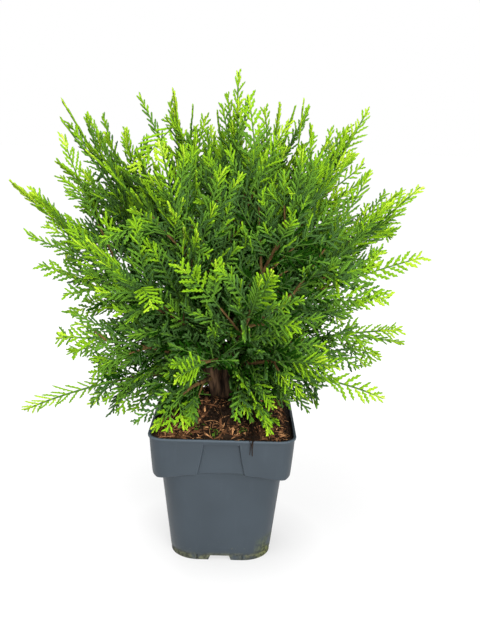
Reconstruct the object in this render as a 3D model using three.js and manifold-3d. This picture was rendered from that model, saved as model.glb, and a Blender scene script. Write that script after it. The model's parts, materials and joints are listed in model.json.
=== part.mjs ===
// A young woodwardii arborvitae, a globe-shaped conifer, in its square nursery pot.
// Millimetres, +Z up. The origin is the middle of the pot's underside, and -Y is the side with the label panel.
// The pot holds a mounded root ball. A clump of four stems rises from it, 28 limbs leave the stems,
// and each limb ends in a plume of flat, toothed sprays that keeps to its own cone of the crown.
import * as THREE from 'three';
import { mergeVertices } from 'three/addons/utils/BufferGeometryUtils.js';
import Module from 'manifold-3d';

const wasm = await Module();
wasm.setup();

const UP = new THREE.Vector3(0, 0, 1);
const DEGREE = Math.PI / 180;
const GAP = 0.3; // clearance between solids that touch on the real plant
const MERGE_WITHIN = 1e-4; // corners closer than this are one corner
const OVERSHOOT = 10; // how far a cutting block stands past what it cuts

// Pot
const POT_HEIGHT = 123;
const RIM_HALF = 65;
const RIM_CORNER = 16;
const RIM_ROUND = 0.5;
const LIP_DROP = 2.4;
const LIP_PROUD = 0.9;
const LIP_SLOPE = 0.3;
const SKIRT_DROP = 36.5;
const SKIRT_HALF = 60;
const SKIRT_ARCH = 3.6; // how much higher the skirt's lower edge is at mid-side than at the corners
const SKIRT_ROUND = 0.8; // rounding of that lower edge
const SHOULDER_HALF = 53;
const SHOULDER_CORNER = 19;
const BASE_HALF = 46.3;
const BASE_CORNER = 25.5;
const WALL = 1.3;
const FLOOR_TOP = 6;
const FOOT_ROUND = 0.8;
const FOOT_LINE = 5.2; // height of the moulded line above the feet
const FOOT_LINE_DEPTH = 0.6;
const NOTCH_HEIGHT = 4.5;
const NOTCH_TOP_HALF = 8.5;
const NOTCH_FOOT_HALF = 10.5;
const NOTCH_INNER = 21; // the notches stop this far from the middle
const DRAIN_RADIUS = 3.4;
const DRAIN_SIDES = 10;
const DRAIN_OUT = 31;
const PANEL_TOP_HALF = 15.8;
const PANEL_FOOT_HALF = 20.6;
const PANEL_TOP_DROP = 5;
const PANEL_DEPTH = 1.9;
const CORNER_STEPS = 4;
const SIDE_SHARES = [-1, -0.5, 0, 0.5, 1];

// Root ball
const SOIL_EDGE_DROP = 3.5; // from the rim down to the soil along the wall
const MOUND_TOP = 141;
const MOUND_FLAT = 24; // half-width of the level patch under the stems
const MOUND_CORNER = 13;
// Shares of the half-width and of the rise, up the mound
const MOUND_PROFILE = [[0.93, 0.05], [0.78, 0.3], [0.6, 0.66], [0.45, 0.96]];

// Stems: the clump leans, so each stem has its own turn from the right-hand side, seen from above
const STEM_TURNS = [205, 290, 25, 115];
const STEM_FOOT_OUT = [3.5, 5, 6, 5];
const STEM_TOP_OUT = [25, 19, 24, 20];
const STEM_TOP_HEIGHT = [236, 226, 229, 238];
const STEM_FOOT_RADIUS = [7.2, 6.4, 5.2, 6.2];
const STEM_TOP_RADIUS = 2.9;
const STEM_SIDES = 8;
const STEM_STEPS = 5;
const STEM_BURIED = 8; // the stems are drawn from this far under the mound's top and cut off at it
const STEM_BOW = 3;
const ROOT_FLARE = 1.45;
const ROOT_FLARE_HEIGHT = 12;

// Limbs, tier by tier. Each tier is spread evenly round the clump from its first turn and leaves the stems at
// the height start. For every limb there is a rise above the level, in degrees, and a reach, both from the
// heart of the crown. arch bows the limb upwards at its middle.
const HEART = new THREE.Vector3(0, 0, 190);
const TIERS = [
  { name: 'skirt', first: 234, start: 164, arch: 20,
    rise: [-29, -27, -16, -12, -15, -21], reach: [114, 112, 154, 152, 156, 210] },
  { name: 'low', first: 205, start: 178, arch: 9,
    rise: [8, 4, 6, 7, 11, 13, 15], reach: [152, 148, 150, 163, 168, 166, 208] },
  { name: 'shoulder', first: 180, start: 194, arch: -5,
    rise: [37, 34, 31, 42, 37, 37, 38], reach: [242, 196, 186, 230, 238, 212, 226] },
  { name: 'high', first: 172, start: 211, arch: -6,
    rise: [55, 58, 60, 56, 58], reach: [265, 216, 222, 264, 236] },
  { name: 'leader', first: 165, start: 226, arch: -2,
    rise: [77, 84, 74], reach: [232, 243, 229] },
];
const START_STAGGER = 3.5; // neighbours in a tier leave their stems this much above and below its height
const LAST_START = 0.97; // share of a stem's length above which no limb leaves it
const BOUGH_SHARE = 0.28; // of the limb, up to where its plume begins
const BOUGH_SIDES = 5;
const BOUGH_STEPS = 2;
const LIMB_ROOT_RADIUS = 2.6;
const LIMB_JOINT_RADIUS = 1.8;
const LIMB_TIP_RADIUS = 1.2;

// Plumes
const PLUME_SIDES = 4;
const PLUME_STEPS = 2;
const PLUME_SPRAYS = 4; // side sprays on the plume's own stem
const PLUME_FIRST = 0.34; // share of the limb at the lowest side spray
const PLUME_LAST = 0.8;
const PLUME_TURN = 150 * DEGREE; // from the side twig round to the lowest side spray
const TWIG_SHARE = 0.46; // of the limb, where the side twig leaves
const TWIG_REACH = 0.24; // of the limb's reach
const TWIG_RADIUS = 1.2;
const TWIG_ANGLE = 24 * DEGREE;
const TWIG_BARE = 0.1; // the root of a twig, up to where it has to be clear of everything
const SPRAY_ANGLE = 34 * DEGREE;
const SPRAY_REACH = 0.46; // longest side spray, as a share of the limb's reach
const SPRAY_SHRINK = 0.55; // the highest side spray against the lowest
const SPRAY_SEAT = 3; // how far a spray at the end of a stem is sunk into it
const STALK_HALF = 1; // half-width of a spray at its root
const WANDER = { share: 0.01, roll: 0.25, angle: 0.1 }; // how far a side spray strays from its even spacing
const TIP_SPRAY = 0.28; // the spray at the tip, as a share of the limb's reach
const SPRAY_THICK = 1.1;
const SPRAY_WIDTH = 0.4; // half-width of a spray at its widest, as a share of its length
const SPRAY_WIDEST = 0.38; // share of the length at its widest
const SPRAY_NOTCH = 0.12; // how near the spray's axis the notches between its teeth come
const INNER_SHARE = 0.45; // width of a side spray towards its stem, against its width on the other side
const TOOTH_FIRST = 0.16; // share of the spray at its first tooth's notch
const TOOTH_STEP = 0.15; // from one tooth to the next on the other side
const TOOTH_COUNT = 4;
const TOOTH_LEAN = 0.22; // how far ahead of its notch a tooth ends
const SPRAY_BARE = 0.15; // the root of a spray, up to where it has to be clear of everything
const LEAST_SPRAY = 17;
const SPREAD_SLACK = 6; // a plume goes no further out than this past its limb's tip
const DROOP_SLACK = 4; // and a drooping one no lower than this below it
const PLUME_CLEAR = 0.6; // between a plume's sprays and every limb
const MASS_TOLERANCE = 0.02; // edges that stray less than this from a straight line are merged
const FIRST_SEED = 100;
const GOLDEN_TURN = 137.5 * DEGREE;
const TRY_SIZES = [1, 0.85, 0.72, 0.6, 0.5]; // a crowded spray is tried at these shares of its length
const TRY_TURNS = [0, 45, -45, 90, -90, 135, -135, 180]; // and turned round its stem by these degrees

const mix = (from, to, share) => from + (to - from) * share;
const aim = (turn, rise) => new THREE.Vector3(
  Math.cos(rise) * Math.cos(turn), Math.cos(rise) * Math.sin(turn), Math.sin(rise));

// Numbers from 0 to 1 that come out the same on every run.
function seededNumbers(seed) {
  const factor = 1664525;
  const step = 1013904223;
  const range = 2 ** 32;
  let state = seed >>> 0;
  return () => {
    state = (Math.imul(state, factor) + step) >>> 0;
    return state / range;
  };
}

function solidOf(geometry) {
  const plain = geometry.clone();
  plain.deleteAttribute('normal');
  plain.deleteAttribute('uv');
  const merged = mergeVertices(plain, MERGE_WITHIN);
  return new wasm.Manifold(new wasm.Mesh({
    numProp: 3,
    vertProperties: new Float32Array(merged.attributes.position.array),
    triVerts: new Uint32Array(merged.index.array),
  }));
}

function geometryOf(solid) {
  const mesh = solid.getMesh();
  const geometry = new THREE.BufferGeometry();
  geometry.setAttribute('position', new THREE.BufferAttribute(new Float32Array(mesh.vertProperties), 3));
  geometry.setIndex(new THREE.BufferAttribute(new Uint32Array(mesh.triVerts), 1));
  geometry.computeVertexNormals();
  return geometry;
}

function joined(solids) {
  return solids.reduce((all, next) => all.add(next));
}

// The piece of a cut solid that holds the most material.
function largestPiece(solid) {
  return solid.decompose().reduce((best, next) => (next.volume() > best.volume() ? next : best));
}

// A closed skin over rings of equal length, listed so that each runs anticlockwise seen from the last one.
function loft(rings) {
  const count = rings[0].length;
  const places = rings.flat();
  const faces = [];
  for (let r = 0; r + 1 < rings.length; r++) {
    for (let i = 0; i < count; i++) {
      const a = r * count + i;
      const b = r * count + (i + 1) % count;
      faces.push(a, b, b + count, a, b + count, a + count);
    }
  }
  const ends = [[rings[0], 0], [rings.at(-1), (rings.length - 1) * count]];
  ends.forEach(([ring, first], end) => {
    const centre = ring.reduce((sum, p) => sum.add(p), new THREE.Vector3()).divideScalar(count);
    places.push(centre);
    for (let i = 0; i < count; i++) {
      const pair = [first + i, first + (i + 1) % count];
      if (end === 0) pair.reverse();
      faces.push(places.length - 1, ...pair);
    }
  });
  const geometry = new THREE.BufferGeometry().setFromPoints(places);
  geometry.setIndex(faces);
  return geometry;
}

// One turn round a square with rounded corners. arch lifts the middle of each side.
function squareRing(half, corner, height, arch = 0) {
  const ring = [];
  const flat = half - corner;
  for (let side = 0; side < 4; side++) {
    const place = (x, y) => {
      const inner = Math.min(Math.abs(x), Math.abs(y)) / half;
      const point = new THREE.Vector3(x, y, height + arch * (1 - inner * inner));
      ring.push(point.applyAxisAngle(UP, side * 90 * DEGREE));
    };
    SIDE_SHARES.forEach((share) => place(half, share * flat));
    for (let step = 1; step < CORNER_STEPS; step++) {
      const angle = (step / CORNER_STEPS) * 90 * DEGREE;
      place(flat + corner * Math.cos(angle), flat + corner * Math.sin(angle));
    }
  }
  return ring;
}

const skirtFoot = POT_HEIGHT - SKIRT_DROP;
const skirtHalfAt = (height) => SKIRT_HALF
  + (RIM_HALF - LIP_PROUD - SKIRT_HALF) * (height - skirtFoot) / SKIRT_DROP;

// A block that stands in front of the skirt and cuts the label panel into it, grown by a wall's thickness
// for the cut on the inside.
function panelBlock(grow) {
  const ends = [
    [skirtFoot - OVERSHOOT, PANEL_FOOT_HALF + grow],
    [POT_HEIGHT - PANEL_TOP_DROP + grow, PANEL_TOP_HALF + grow],
  ];
  return solidOf(loft(ends.map(([height, half]) => frontSlab(
    half, skirtHalfAt(height) - PANEL_DEPTH - grow, height))));
}

// A level rectangle on the front of the pot, from well outside it to a distance from the middle.
function frontSlab(half, inner, height) {
  const outer = RIM_HALF + OVERSHOOT;
  return [
    new THREE.Vector3(-half, -outer, height),
    new THREE.Vector3(half, -outer, height),
    new THREE.Vector3(half, -inner, height),
    new THREE.Vector3(-half, -inner, height),
  ];
}

function potSolid() {
  const footHalf = BASE_HALF - FOOT_LINE_DEPTH;
  const outside = solidOf(loft([
    squareRing(footHalf - FOOT_ROUND, BASE_CORNER - FOOT_ROUND, 0),
    squareRing(footHalf, BASE_CORNER, FOOT_ROUND),
    squareRing(footHalf, BASE_CORNER, FOOT_LINE),
    squareRing(BASE_HALF, BASE_CORNER, FOOT_LINE + FOOT_LINE_DEPTH),
    squareRing(SHOULDER_HALF, SHOULDER_CORNER, skirtFoot, SKIRT_ARCH),
    squareRing(SKIRT_HALF - SKIRT_ROUND, RIM_CORNER, skirtFoot, SKIRT_ARCH),
    squareRing(SKIRT_HALF, RIM_CORNER, skirtFoot + SKIRT_ROUND, SKIRT_ARCH),
    squareRing(RIM_HALF - LIP_PROUD, RIM_CORNER, POT_HEIGHT - LIP_DROP),
    squareRing(RIM_HALF, RIM_CORNER, POT_HEIGHT - LIP_DROP + LIP_SLOPE),
    squareRing(RIM_HALF, RIM_CORNER, POT_HEIGHT - RIM_ROUND),
    squareRing(RIM_HALF - RIM_ROUND, RIM_CORNER, POT_HEIGHT),
  ])).subtract(panelBlock(0));
  const inside = solidOf(loft(cavityRings(0))).subtract(panelBlock(WALL));
  let pot = outside.subtract(inside);
  for (let side = 0; side < 4; side++) {
    const turned = (solid) => solid.rotate([0, 0, side * 90]);
    const notch = loft([
      frontSlab(NOTCH_FOOT_HALF, NOTCH_INNER, -GAP),
      frontSlab(NOTCH_TOP_HALF, NOTCH_INNER, NOTCH_HEIGHT),
    ]);
    const drain = new THREE.CylinderGeometry(DRAIN_RADIUS, DRAIN_RADIUS, 2 * FLOOR_TOP, DRAIN_SIDES)
      .rotateX(90 * DEGREE)
      .translate(0, -DRAIN_OUT, FLOOR_TOP);
    pot = pot.subtract(turned(solidOf(notch))).subtract(turned(solidOf(drain)));
  }
  return pot;
}

// The pot's inner face from floor to mouth, taken in by the clearance.
function cavityRings(clear) {
  const inset = WALL + clear;
  const skirtRing = skirtFoot + inset + GAP;
  return [
    squareRing(BASE_HALF - inset, BASE_CORNER - inset, FLOOR_TOP + clear),
    squareRing(SHOULDER_HALF - inset, SHOULDER_CORNER - inset, skirtFoot + inset, SKIRT_ARCH),
    squareRing(SKIRT_HALF - inset, RIM_CORNER - inset, skirtRing, SKIRT_ARCH),
    squareRing(skirtHalfAt(POT_HEIGHT) - inset, RIM_CORNER - inset, POT_HEIGHT + GAP),
  ];
}

// The root ball fills the pot and rises to a mound with a level top under the stems.
function soilSolid() {
  const edge = POT_HEIGHT - SOIL_EDGE_DROP;
  const edgeHalf = skirtHalfAt(edge) - WALL - GAP;
  const corner = RIM_CORNER - WALL - GAP;
  const rings = cavityRings(GAP).slice(0, -1);
  rings.push(squareRing(edgeHalf, corner, edge));
  MOUND_PROFILE.forEach(([share, lift]) => {
    rings.push(squareRing(edgeHalf * share, corner, mix(edge, MOUND_TOP, lift)));
  });
  rings.push(squareRing(MOUND_FLAT, MOUND_CORNER, MOUND_TOP));
  return solidOf(loft(rings)).subtract(panelBlock(WALL + GAP));
}

// A tapered limb along part of a curve that leans away from upright, from one share of its length to another.
function taperedLimb(curve, from, to, radiusAt, sides, steps) {
  const heading = curve.getPointAt(1).sub(curve.getPointAt(0));
  const across = new THREE.Vector3().crossVectors(heading, UP).normalize();
  const rings = [];
  for (let step = 0; step <= steps; step++) {
    const share = from + (to - from) * step / steps;
    const centre = curve.getPointAt(share);
    const along = curve.getTangentAt(share);
    const out = new THREE.Vector3().crossVectors(along, across).normalize();
    const side = new THREE.Vector3().crossVectors(along, out).normalize();
    const radius = radiusAt(share);
    rings.push(Array.from({ length: sides }, (_, i) => {
      const angle = (i / sides) * 2 * Math.PI;
      return centre.clone()
        .addScaledVector(out, radius * Math.cos(angle))
        .addScaledVector(side, radius * Math.sin(angle));
    }));
  }
  return loft(rings);
}

// Stem curves
const stemFoot = MOUND_TOP + GAP;
const stemStart = MOUND_TOP - STEM_BURIED;
const stemCurves = STEM_TURNS.map((turn, i) => {
  const out = aim(turn * DEGREE, 0);
  const foot = out.clone().multiplyScalar(STEM_FOOT_OUT[i]).setZ(stemStart);
  const top = out.clone().multiplyScalar(STEM_TOP_OUT[i]).setZ(STEM_TOP_HEIGHT[i]);
  const bend = foot.clone().lerp(top, 0.5).addScaledVector(out, STEM_BOW);
  return new THREE.QuadraticBezierCurve3(foot, bend, top);
});

function stemRadius(i, share) {
  const height = (STEM_TOP_HEIGHT[i] - stemStart) * share - STEM_BURIED;
  const flare = 1 + (ROOT_FLARE - 1) * Math.min(1, Math.max(0, 1 - height / ROOT_FLARE_HEIGHT)) ** 2;
  return mix(STEM_FOOT_RADIUS[i], STEM_TOP_RADIUS, share) * flare;
}

// The clump as one solid, cut flat at the foot. grow thickens it all round.
function clumpSolid(grow) {
  const stems = stemCurves.map((curve, i) => solidOf(
    taperedLimb(curve, 0, 1, (s) => stemRadius(i, s) + grow, STEM_SIDES, STEM_STEPS)));
  return joined(stems).trimByPlane([0, 0, 1], stemFoot - grow);
}

// Limbs
const limbs = TIERS.flatMap((tier) => tier.rise.map((rise, i) => {
  const turn = tier.first + 360 * i / tier.rise.length;
  const heading = aim(turn * DEGREE, rise * DEGREE);
  const tip = HEART.clone().addScaledVector(heading, tier.reach[i]);
  const turnGap = (other) => Math.abs(((turn - other + 540) % 360) - 180);
  const nearest = Math.min(...STEM_TURNS.map(turnGap));
  const stem = STEM_TURNS.findIndex((other) => turnGap(other) === nearest);
  const height = tier.start + (i % 2 ? START_STAGGER : -START_STAGGER);
  const share = (height - stemStart) / (STEM_TOP_HEIGHT[stem] - stemStart);
  const root = stemCurves[stem].getPoint(Math.min(share, LAST_START));
  const bend = root.clone().lerp(tip, 0.5).addScaledVector(UP, tier.arch);
  return {
    name: `${tier.name}_${i + 1}`,
    heading,
    reach: tier.reach[i],
    spread: Math.hypot(tip.x, tip.y) + SPREAD_SLACK,
    lowest: Math.min(tip.z, MOUND_TOP) - DROOP_SLACK,
    curve: new THREE.QuadraticBezierCurve3(root, bend, tip),
  };
}));

const limbRadius = (share) => (share < BOUGH_SHARE
  ? mix(LIMB_ROOT_RADIUS, LIMB_JOINT_RADIUS, share / BOUGH_SHARE)
  : mix(LIMB_JOINT_RADIUS, LIMB_TIP_RADIUS, (share - BOUGH_SHARE) / (1 - BOUGH_SHARE)));

// Where something stands that leaves a stem at an angle, rolled round it: its root, its heading,
// the direction of its width and how wide it is towards the stem.
function sidePlace(root, along, roll, angle) {
  const side = new THREE.Vector3().crossVectors(along, UP).normalize().applyAxisAngle(along, roll);
  const heading = along.clone().multiplyScalar(Math.cos(angle)).addScaledVector(side, Math.sin(angle));
  const across = side.multiplyScalar(Math.cos(angle)).addScaledVector(along, -Math.sin(angle));
  return { root, heading, across, inner: angle > 0 ? INNER_SHARE : 1 };
}

// A flat spray as a plate with forward-pointing teeth on alternate sides. The part before the share from is left off.
function sprayPlate({ root, heading, across, inner }, length, from = 0) {
  const teeth = Array.from({ length: TOOTH_COUNT }, (_, i) => TOOTH_FIRST + i * TOOTH_STEP);
  const edge = (parity, width) => teeth.filter((_, i) => i % 2 === parity).flatMap((at) => [
    [at, SPRAY_NOTCH * width],
    [at + TOOTH_LEAN, SPRAY_WIDTH * width * Math.min(1, (1 - at - TOOTH_LEAN) / (1 - SPRAY_WIDEST))],
  ]).filter(([at]) => at > from);
  const outline = new THREE.Shape();
  outline.moveTo(from * length, -STALK_HALF);
  edge(1, inner).forEach(([at, spread]) => outline.lineTo(at * length, -spread * length));
  outline.lineTo(length, 0);
  edge(0, 1).reverse().forEach(([at, spread]) => outline.lineTo(at * length, spread * length));
  outline.lineTo(from * length, STALK_HALF);
  const plate = new THREE.ExtrudeGeometry(outline, { depth: SPRAY_THICK, bevelEnabled: false })
    .translate(0, 0, -SPRAY_THICK / 2);
  const face = new THREE.Vector3().crossVectors(heading, across);
  return plate.applyMatrix4(new THREE.Matrix4().makeBasis(heading, across, face).setPosition(root));
}

// Whether a shape stays within a limb's reach and nearer to its heading than to any other limb's.
function keepsToCone(limb, geometry) {
  const place = geometry.getAttribute('position');
  const point = new THREE.Vector3();
  for (let i = 0; i < place.count; i++) {
    point.fromBufferAttribute(place, i);
    if (point.z < limb.lowest || Math.hypot(point.x, point.y) > limb.spread) return false;
    point.sub(HEART);
    if (point.length() > limb.reach + GAP) return false;
    for (const other of limbs) {
      if (other === limb) continue;
      const wall = limb.heading.clone().sub(other.heading).normalize();
      if (point.dot(wall) < GAP) return false;
    }
  }
  return true;
}

// A plume: the limb's outer part, a side twig and flat sprays, fused into one solid.
function plumeSolid(limb, seed, obstacles) {
  const random = seededNumbers(seed);
  const { curve, reach } = limb;
  const length = curve.getLength();
  const start = BOUGH_SHARE + GAP / length;
  const end = 1 - (TIP_SPRAY * reach) / length;
  let solid = solidOf(taperedLimb(curve, start, end, limbRadius, PLUME_SIDES, PLUME_STEPS));

  // The tip of the limb is the tip of its last spray
  const tipRoot = curve.getPointAt(end).addScaledVector(curve.getTangentAt(end), -SPRAY_SEAT);
  const tipLine = curve.getPointAt(1).sub(tipRoot);
  const tipPlace = sidePlace(tipRoot, tipLine.clone().normalize(), random() * 2 * Math.PI, 0);
  solid = solid.add(solidOf(sprayPlate(tipPlace, tipLine.length())));

  const addSpray = (root, along, roll, angle, full) => {
    const ways = TRY_SIZES.flatMap((share) => TRY_TURNS.map((turn) => [full * share, roll + turn * DEGREE]));
    for (const [size, turnedRoll] of ways) {
      if (size < LEAST_SPRAY) return;
      const place = sidePlace(root, along, turnedRoll, angle);
      const probe = sprayPlate(place, size, SPRAY_BARE);
      if (!keepsToCone(limb, probe)) continue;
      const outer = solidOf(probe);
      if (!outer.intersect(obstacles).isEmpty() || !outer.intersect(solid).isEmpty()) continue;
      solid = solid.add(solidOf(sprayPlate(place, size)));
      return;
    }
  };

  const firstRoll = random() * 2 * Math.PI;
  const twigRoot = curve.getPointAt(TWIG_SHARE);
  const twigHeading = sidePlace(twigRoot, curve.getTangentAt(TWIG_SHARE), firstRoll, TWIG_ANGLE).heading;
  const twigEnd = twigRoot.clone().addScaledVector(twigHeading, TWIG_REACH * reach);
  const twigLine = new THREE.LineCurve3(twigRoot, twigEnd);
  const twigShape = (from) => taperedLimb(twigLine, from, 1, () => TWIG_RADIUS, 3, 1);
  const bare = twigShape(TWIG_BARE);
  if (keepsToCone(limb, bare) && solidOf(bare).intersect(obstacles).isEmpty()) {
    solid = solid.add(solidOf(twigShape(0)));
    const sprayRoot = twigEnd.clone().addScaledVector(twigHeading, -SPRAY_SEAT);
    addSpray(sprayRoot, twigHeading, firstRoll, 0, TIP_SPRAY * reach);
  }

  const wander = (most) => most * mix(-1, 1, random());
  for (let i = 0; i < PLUME_SPRAYS; i++) {
    const place = i / (PLUME_SPRAYS - 1);
    const share = mix(PLUME_FIRST, PLUME_LAST, place) + wander(WANDER.share);
    const roll = firstRoll + PLUME_TURN + i * GOLDEN_TURN + wander(WANDER.roll);
    const angle = SPRAY_ANGLE + wander(WANDER.angle);
    const full = SPRAY_REACH * reach * mix(1, SPRAY_SHRINK, place);
    addSpray(curve.getPointAt(share), curve.getTangentAt(share), roll, angle, full);
  }
  return solid.simplify(MASS_TOLERANCE);
}

// A limb's solid from one share of its length to another, thickened all round.
function limbSolid(limb, from, to, grow) {
  return solidOf(taperedLimb(
    limb.curve, from, to, (share) => limbRadius(share) + grow, BOUGH_SIDES, BOUGH_STEPS));
}

// What a plume's twigs and sprays keep clear of: pot and soil, the clump, its own bough and every other limb.
function obstaclesTo(limb, clump) {
  const others = limbs.filter((other) => other !== limb).map((other) => limbSolid(other, 0, 1, PLUME_CLEAR));
  const ownBough = limbSolid(limb, 0, BOUGH_SHARE, PLUME_CLEAR);
  const ground = solidOf(loft([
    squareRing(BASE_HALF, BASE_CORNER, 0),
    squareRing(RIM_HALF + GAP, RIM_CORNER, POT_HEIGHT + GAP),
    squareRing(RIM_HALF / 2, RIM_CORNER, MOUND_TOP + GAP),
  ]));
  return joined([clump, ground, ownBough, ...others]);
}

// Materials
const potPlastic = new THREE.MeshStandardMaterial({ color: 0x4d5862, roughness: 0.55, metalness: 0 });
const peat = new THREE.MeshStandardMaterial({ color: 0x4a2f1f, roughness: 0.95, metalness: 0 });
const bark = new THREE.MeshStandardMaterial({ color: 0x6b4532, roughness: 0.9, metalness: 0 });
const foliage = new THREE.MeshStandardMaterial({ color: 0x3f7d1e, roughness: 0.6, metalness: 0 });

const plant = new THREE.Group();
function addPiece(name, solid, material) {
  const mesh = new THREE.Mesh(geometryOf(solid), material);
  mesh.name = name;
  plant.add(mesh);
}

addPiece('pot', potSolid(), potPlastic);
addPiece('root_ball', soilSolid(), peat);
addPiece('stem_clump', clumpSolid(0), bark);

// Each bough is cut clear of the clump and of the boughs before it
const thickClump = clumpSolid(GAP);
let taken = thickClump;
limbs.forEach((limb) => {
  addPiece(`bough_${limb.name}`, largestPiece(limbSolid(limb, 0, BOUGH_SHARE, 0).subtract(taken)), bark);
  taken = taken.add(limbSolid(limb, 0, BOUGH_SHARE, GAP));
});

limbs.forEach((limb, index) => {
  const plume = plumeSolid(limb, FIRST_SEED + index, obstaclesTo(limb, thickClump));
  addPiece(`foliage_${limb.name}`, plume, foliage);
});

export default plant;
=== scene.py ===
import json
import math
import random

import bmesh
import bpy
import numpy as np
from bpy.props import FloatProperty, FloatVectorProperty, IntProperty, PointerProperty
from bpy.types import Operator, Panel, PropertyGroup
from mathutils import Matrix, Quaternion, Vector, noise

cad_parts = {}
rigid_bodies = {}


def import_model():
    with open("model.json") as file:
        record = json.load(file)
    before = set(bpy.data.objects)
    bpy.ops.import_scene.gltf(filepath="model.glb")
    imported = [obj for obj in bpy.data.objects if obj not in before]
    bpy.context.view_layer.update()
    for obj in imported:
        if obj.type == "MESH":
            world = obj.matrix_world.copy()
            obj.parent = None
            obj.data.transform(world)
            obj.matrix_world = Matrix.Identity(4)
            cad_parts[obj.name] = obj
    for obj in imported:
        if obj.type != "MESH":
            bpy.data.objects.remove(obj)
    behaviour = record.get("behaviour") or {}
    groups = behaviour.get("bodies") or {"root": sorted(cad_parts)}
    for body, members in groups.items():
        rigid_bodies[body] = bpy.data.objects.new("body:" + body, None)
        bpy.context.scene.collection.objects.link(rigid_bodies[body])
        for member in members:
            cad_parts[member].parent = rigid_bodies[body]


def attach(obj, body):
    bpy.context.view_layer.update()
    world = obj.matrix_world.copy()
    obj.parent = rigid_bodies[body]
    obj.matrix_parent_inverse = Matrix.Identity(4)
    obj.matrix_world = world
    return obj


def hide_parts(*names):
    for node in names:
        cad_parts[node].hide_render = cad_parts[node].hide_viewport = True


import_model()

bl_info = {
    "name": "Potted Woodwardii Arborvitae",
    "version": (1, 0, 0),
    "blender": (4, 5, 0),
    "location": "View3D > Sidebar > Arborvitae",
    "description": "Dresses a packed arborvitae in bark, twigs, sprays of scale leaves, mulch and a pot",
    "category": "Object",
}

# A globe-shaped young conifer in a square nursery pot. Metres, +Z up, the label panel faces -Y.
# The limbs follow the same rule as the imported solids, and every spray grows on from them.
MM = 0.001
UP = Vector((0, 0, 1))
BODY = "root"

# Pot
POT_HEIGHT = 0.123
RIM_HALF = 0.065
RIM_CORNER = 0.016
LIP_DROP = 0.0024
LIP_PROUD = 0.0009
SKIRT_FOOT = 0.0830
SKIRT_HALF = 0.0612
SKIRT_ARCH = 0.0070
SHOULDER_HALF = 0.0542
SHOULDER_CORNER = 0.019
BASE_HALF = 0.0463
BASE_CORNER = 0.0255
WALL = 0.0013
FLOOR_TOP = 0.006
FOOT_LINE = 0.0052
FOOT_LINE_DEPTH = 0.0006
NOTCH_HEIGHT = 0.0045
NOTCH_TOP_HALF = 0.0085
NOTCH_FOOT_HALF = 0.0105
NOTCH_INNER = 0.021
DRAIN_RADIUS = 0.0034
DRAIN_OUT = 0.031
PANEL_TOP_HALF = 0.0152
PANEL_FOOT_HALF = 0.0206
PANEL_TOP = 0.118
PANEL_DEPTH = 0.0027
PANEL_BEVEL = 0.0007
PANEL_BACKING = 0.002

# Roundings and small steps of the moulding, and where the rings of its profile stand
FOOT_INSET = 0.0014
FOOT_ROUND = 0.0008
FOOT_FLAT_TOP = 0.003
SKIRT_ROUND = 0.0012
RIM_ROUND = 0.0006
EDGE = 0.0004
SEAM = 0.0006
LIP_EDGE = 0.0003
LIP_INSIDE = 0.0005
WALL_RINGS = 12
SKIRT_BAND = SKIRT_FOOT + 0.004
SKIRT_RINGS = (SKIRT_BAND, SKIRT_FOOT + 0.009, SKIRT_FOOT + 0.015, 0.107, 0.1125, 0.1164,
               PANEL_TOP - PANEL_BEVEL / 2, PANEL_TOP + PANEL_BEVEL / 2, 0.1195)
ARCH_FADE = 0.020
NOTCH_UNDER = 0.0003
DRAIN_SIDES = 20
SHARP_ANGLE = 32
BOX_FACES = [(0, 1, 3, 2), (4, 6, 7, 5), (0, 4, 5, 1), (2, 3, 7, 6), (0, 2, 6, 4), (1, 5, 7, 3)]
QUARTERS = [Matrix.Rotation(math.radians(90 * side), 3, "Z") for side in range(4)]

# Shares of a side where its columns stand: left of the label panel, across it and right of it
LEFT_COLUMNS = (0, 0.35, 0.7, 1)
PANEL_COLUMNS = (-1, -0.5, 0, 0.5, 1)
RIGHT_COLUMNS = (0, 0.3, 0.65, 1)

# Root ball
SOIL_EDGE = 0.1195
SOIL_EDGE_HALF = 0.0622
MOUND_TOP = 0.141
MOUND_PROFILE = ((1.0, 0.0), (0.93, 0.05), (0.78, 0.3), (0.6, 0.66), (0.45, 0.96), (0.385, 1.0))
MOUND_ROUND = 0.35
SOIL_RELIEF = 0.0026
SOIL_LUMPS = 90
SOIL_STEPS = 84
SOIL_SEED = 7
SOIL_GRIP = 0.0004
SOIL_NODES = ("root_ball",)
WALL_BLEND = 0.006

# Height and half-width of the root ball inside the pot, from the edge of the peat to the floor
SOIL_LEVELS = ((SOIL_EDGE - 0.0014, SOIL_EDGE_HALF - 0.0024),
               (SKIRT_FOOT + SKIRT_ARCH + 0.006, SKIRT_HALF - 0.0055),
               (SKIRT_FOOT + SKIRT_ARCH - 0.002, SHOULDER_HALF - 0.0055),
               (FLOOR_TOP + 0.001, BASE_HALF - 0.0065))

# Litter on the peat: where it may lie, how it leans, and how far a chip reaches from its root
CRUMBS = 5
CHIPS = 8
FIBRES = 6
LITTER_HALF = SOIL_EDGE_HALF - 0.0045
LITTER_CORNER = 0.014
LITTER_LEAN = 0.22
LITTER_TILT = 0.3
LITTER_BACK = 0.004
LITTER_LENGTH = 0.012
LITTER_WALL = SOIL_EDGE_HALF - 0.0035
LITTER_AT_WALL = 0.4
BACK_AT_WALL = 0.0015
CORNER_PULL = 0.85
CRUMB_SIZE = 0.0009
CHIP_BOW = 0.0008
DARK_PEAT = Vector((0.012, -0.034))
DARK_PEAT_WIDE = 0.026
BARK_PATCHES = 55

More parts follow.
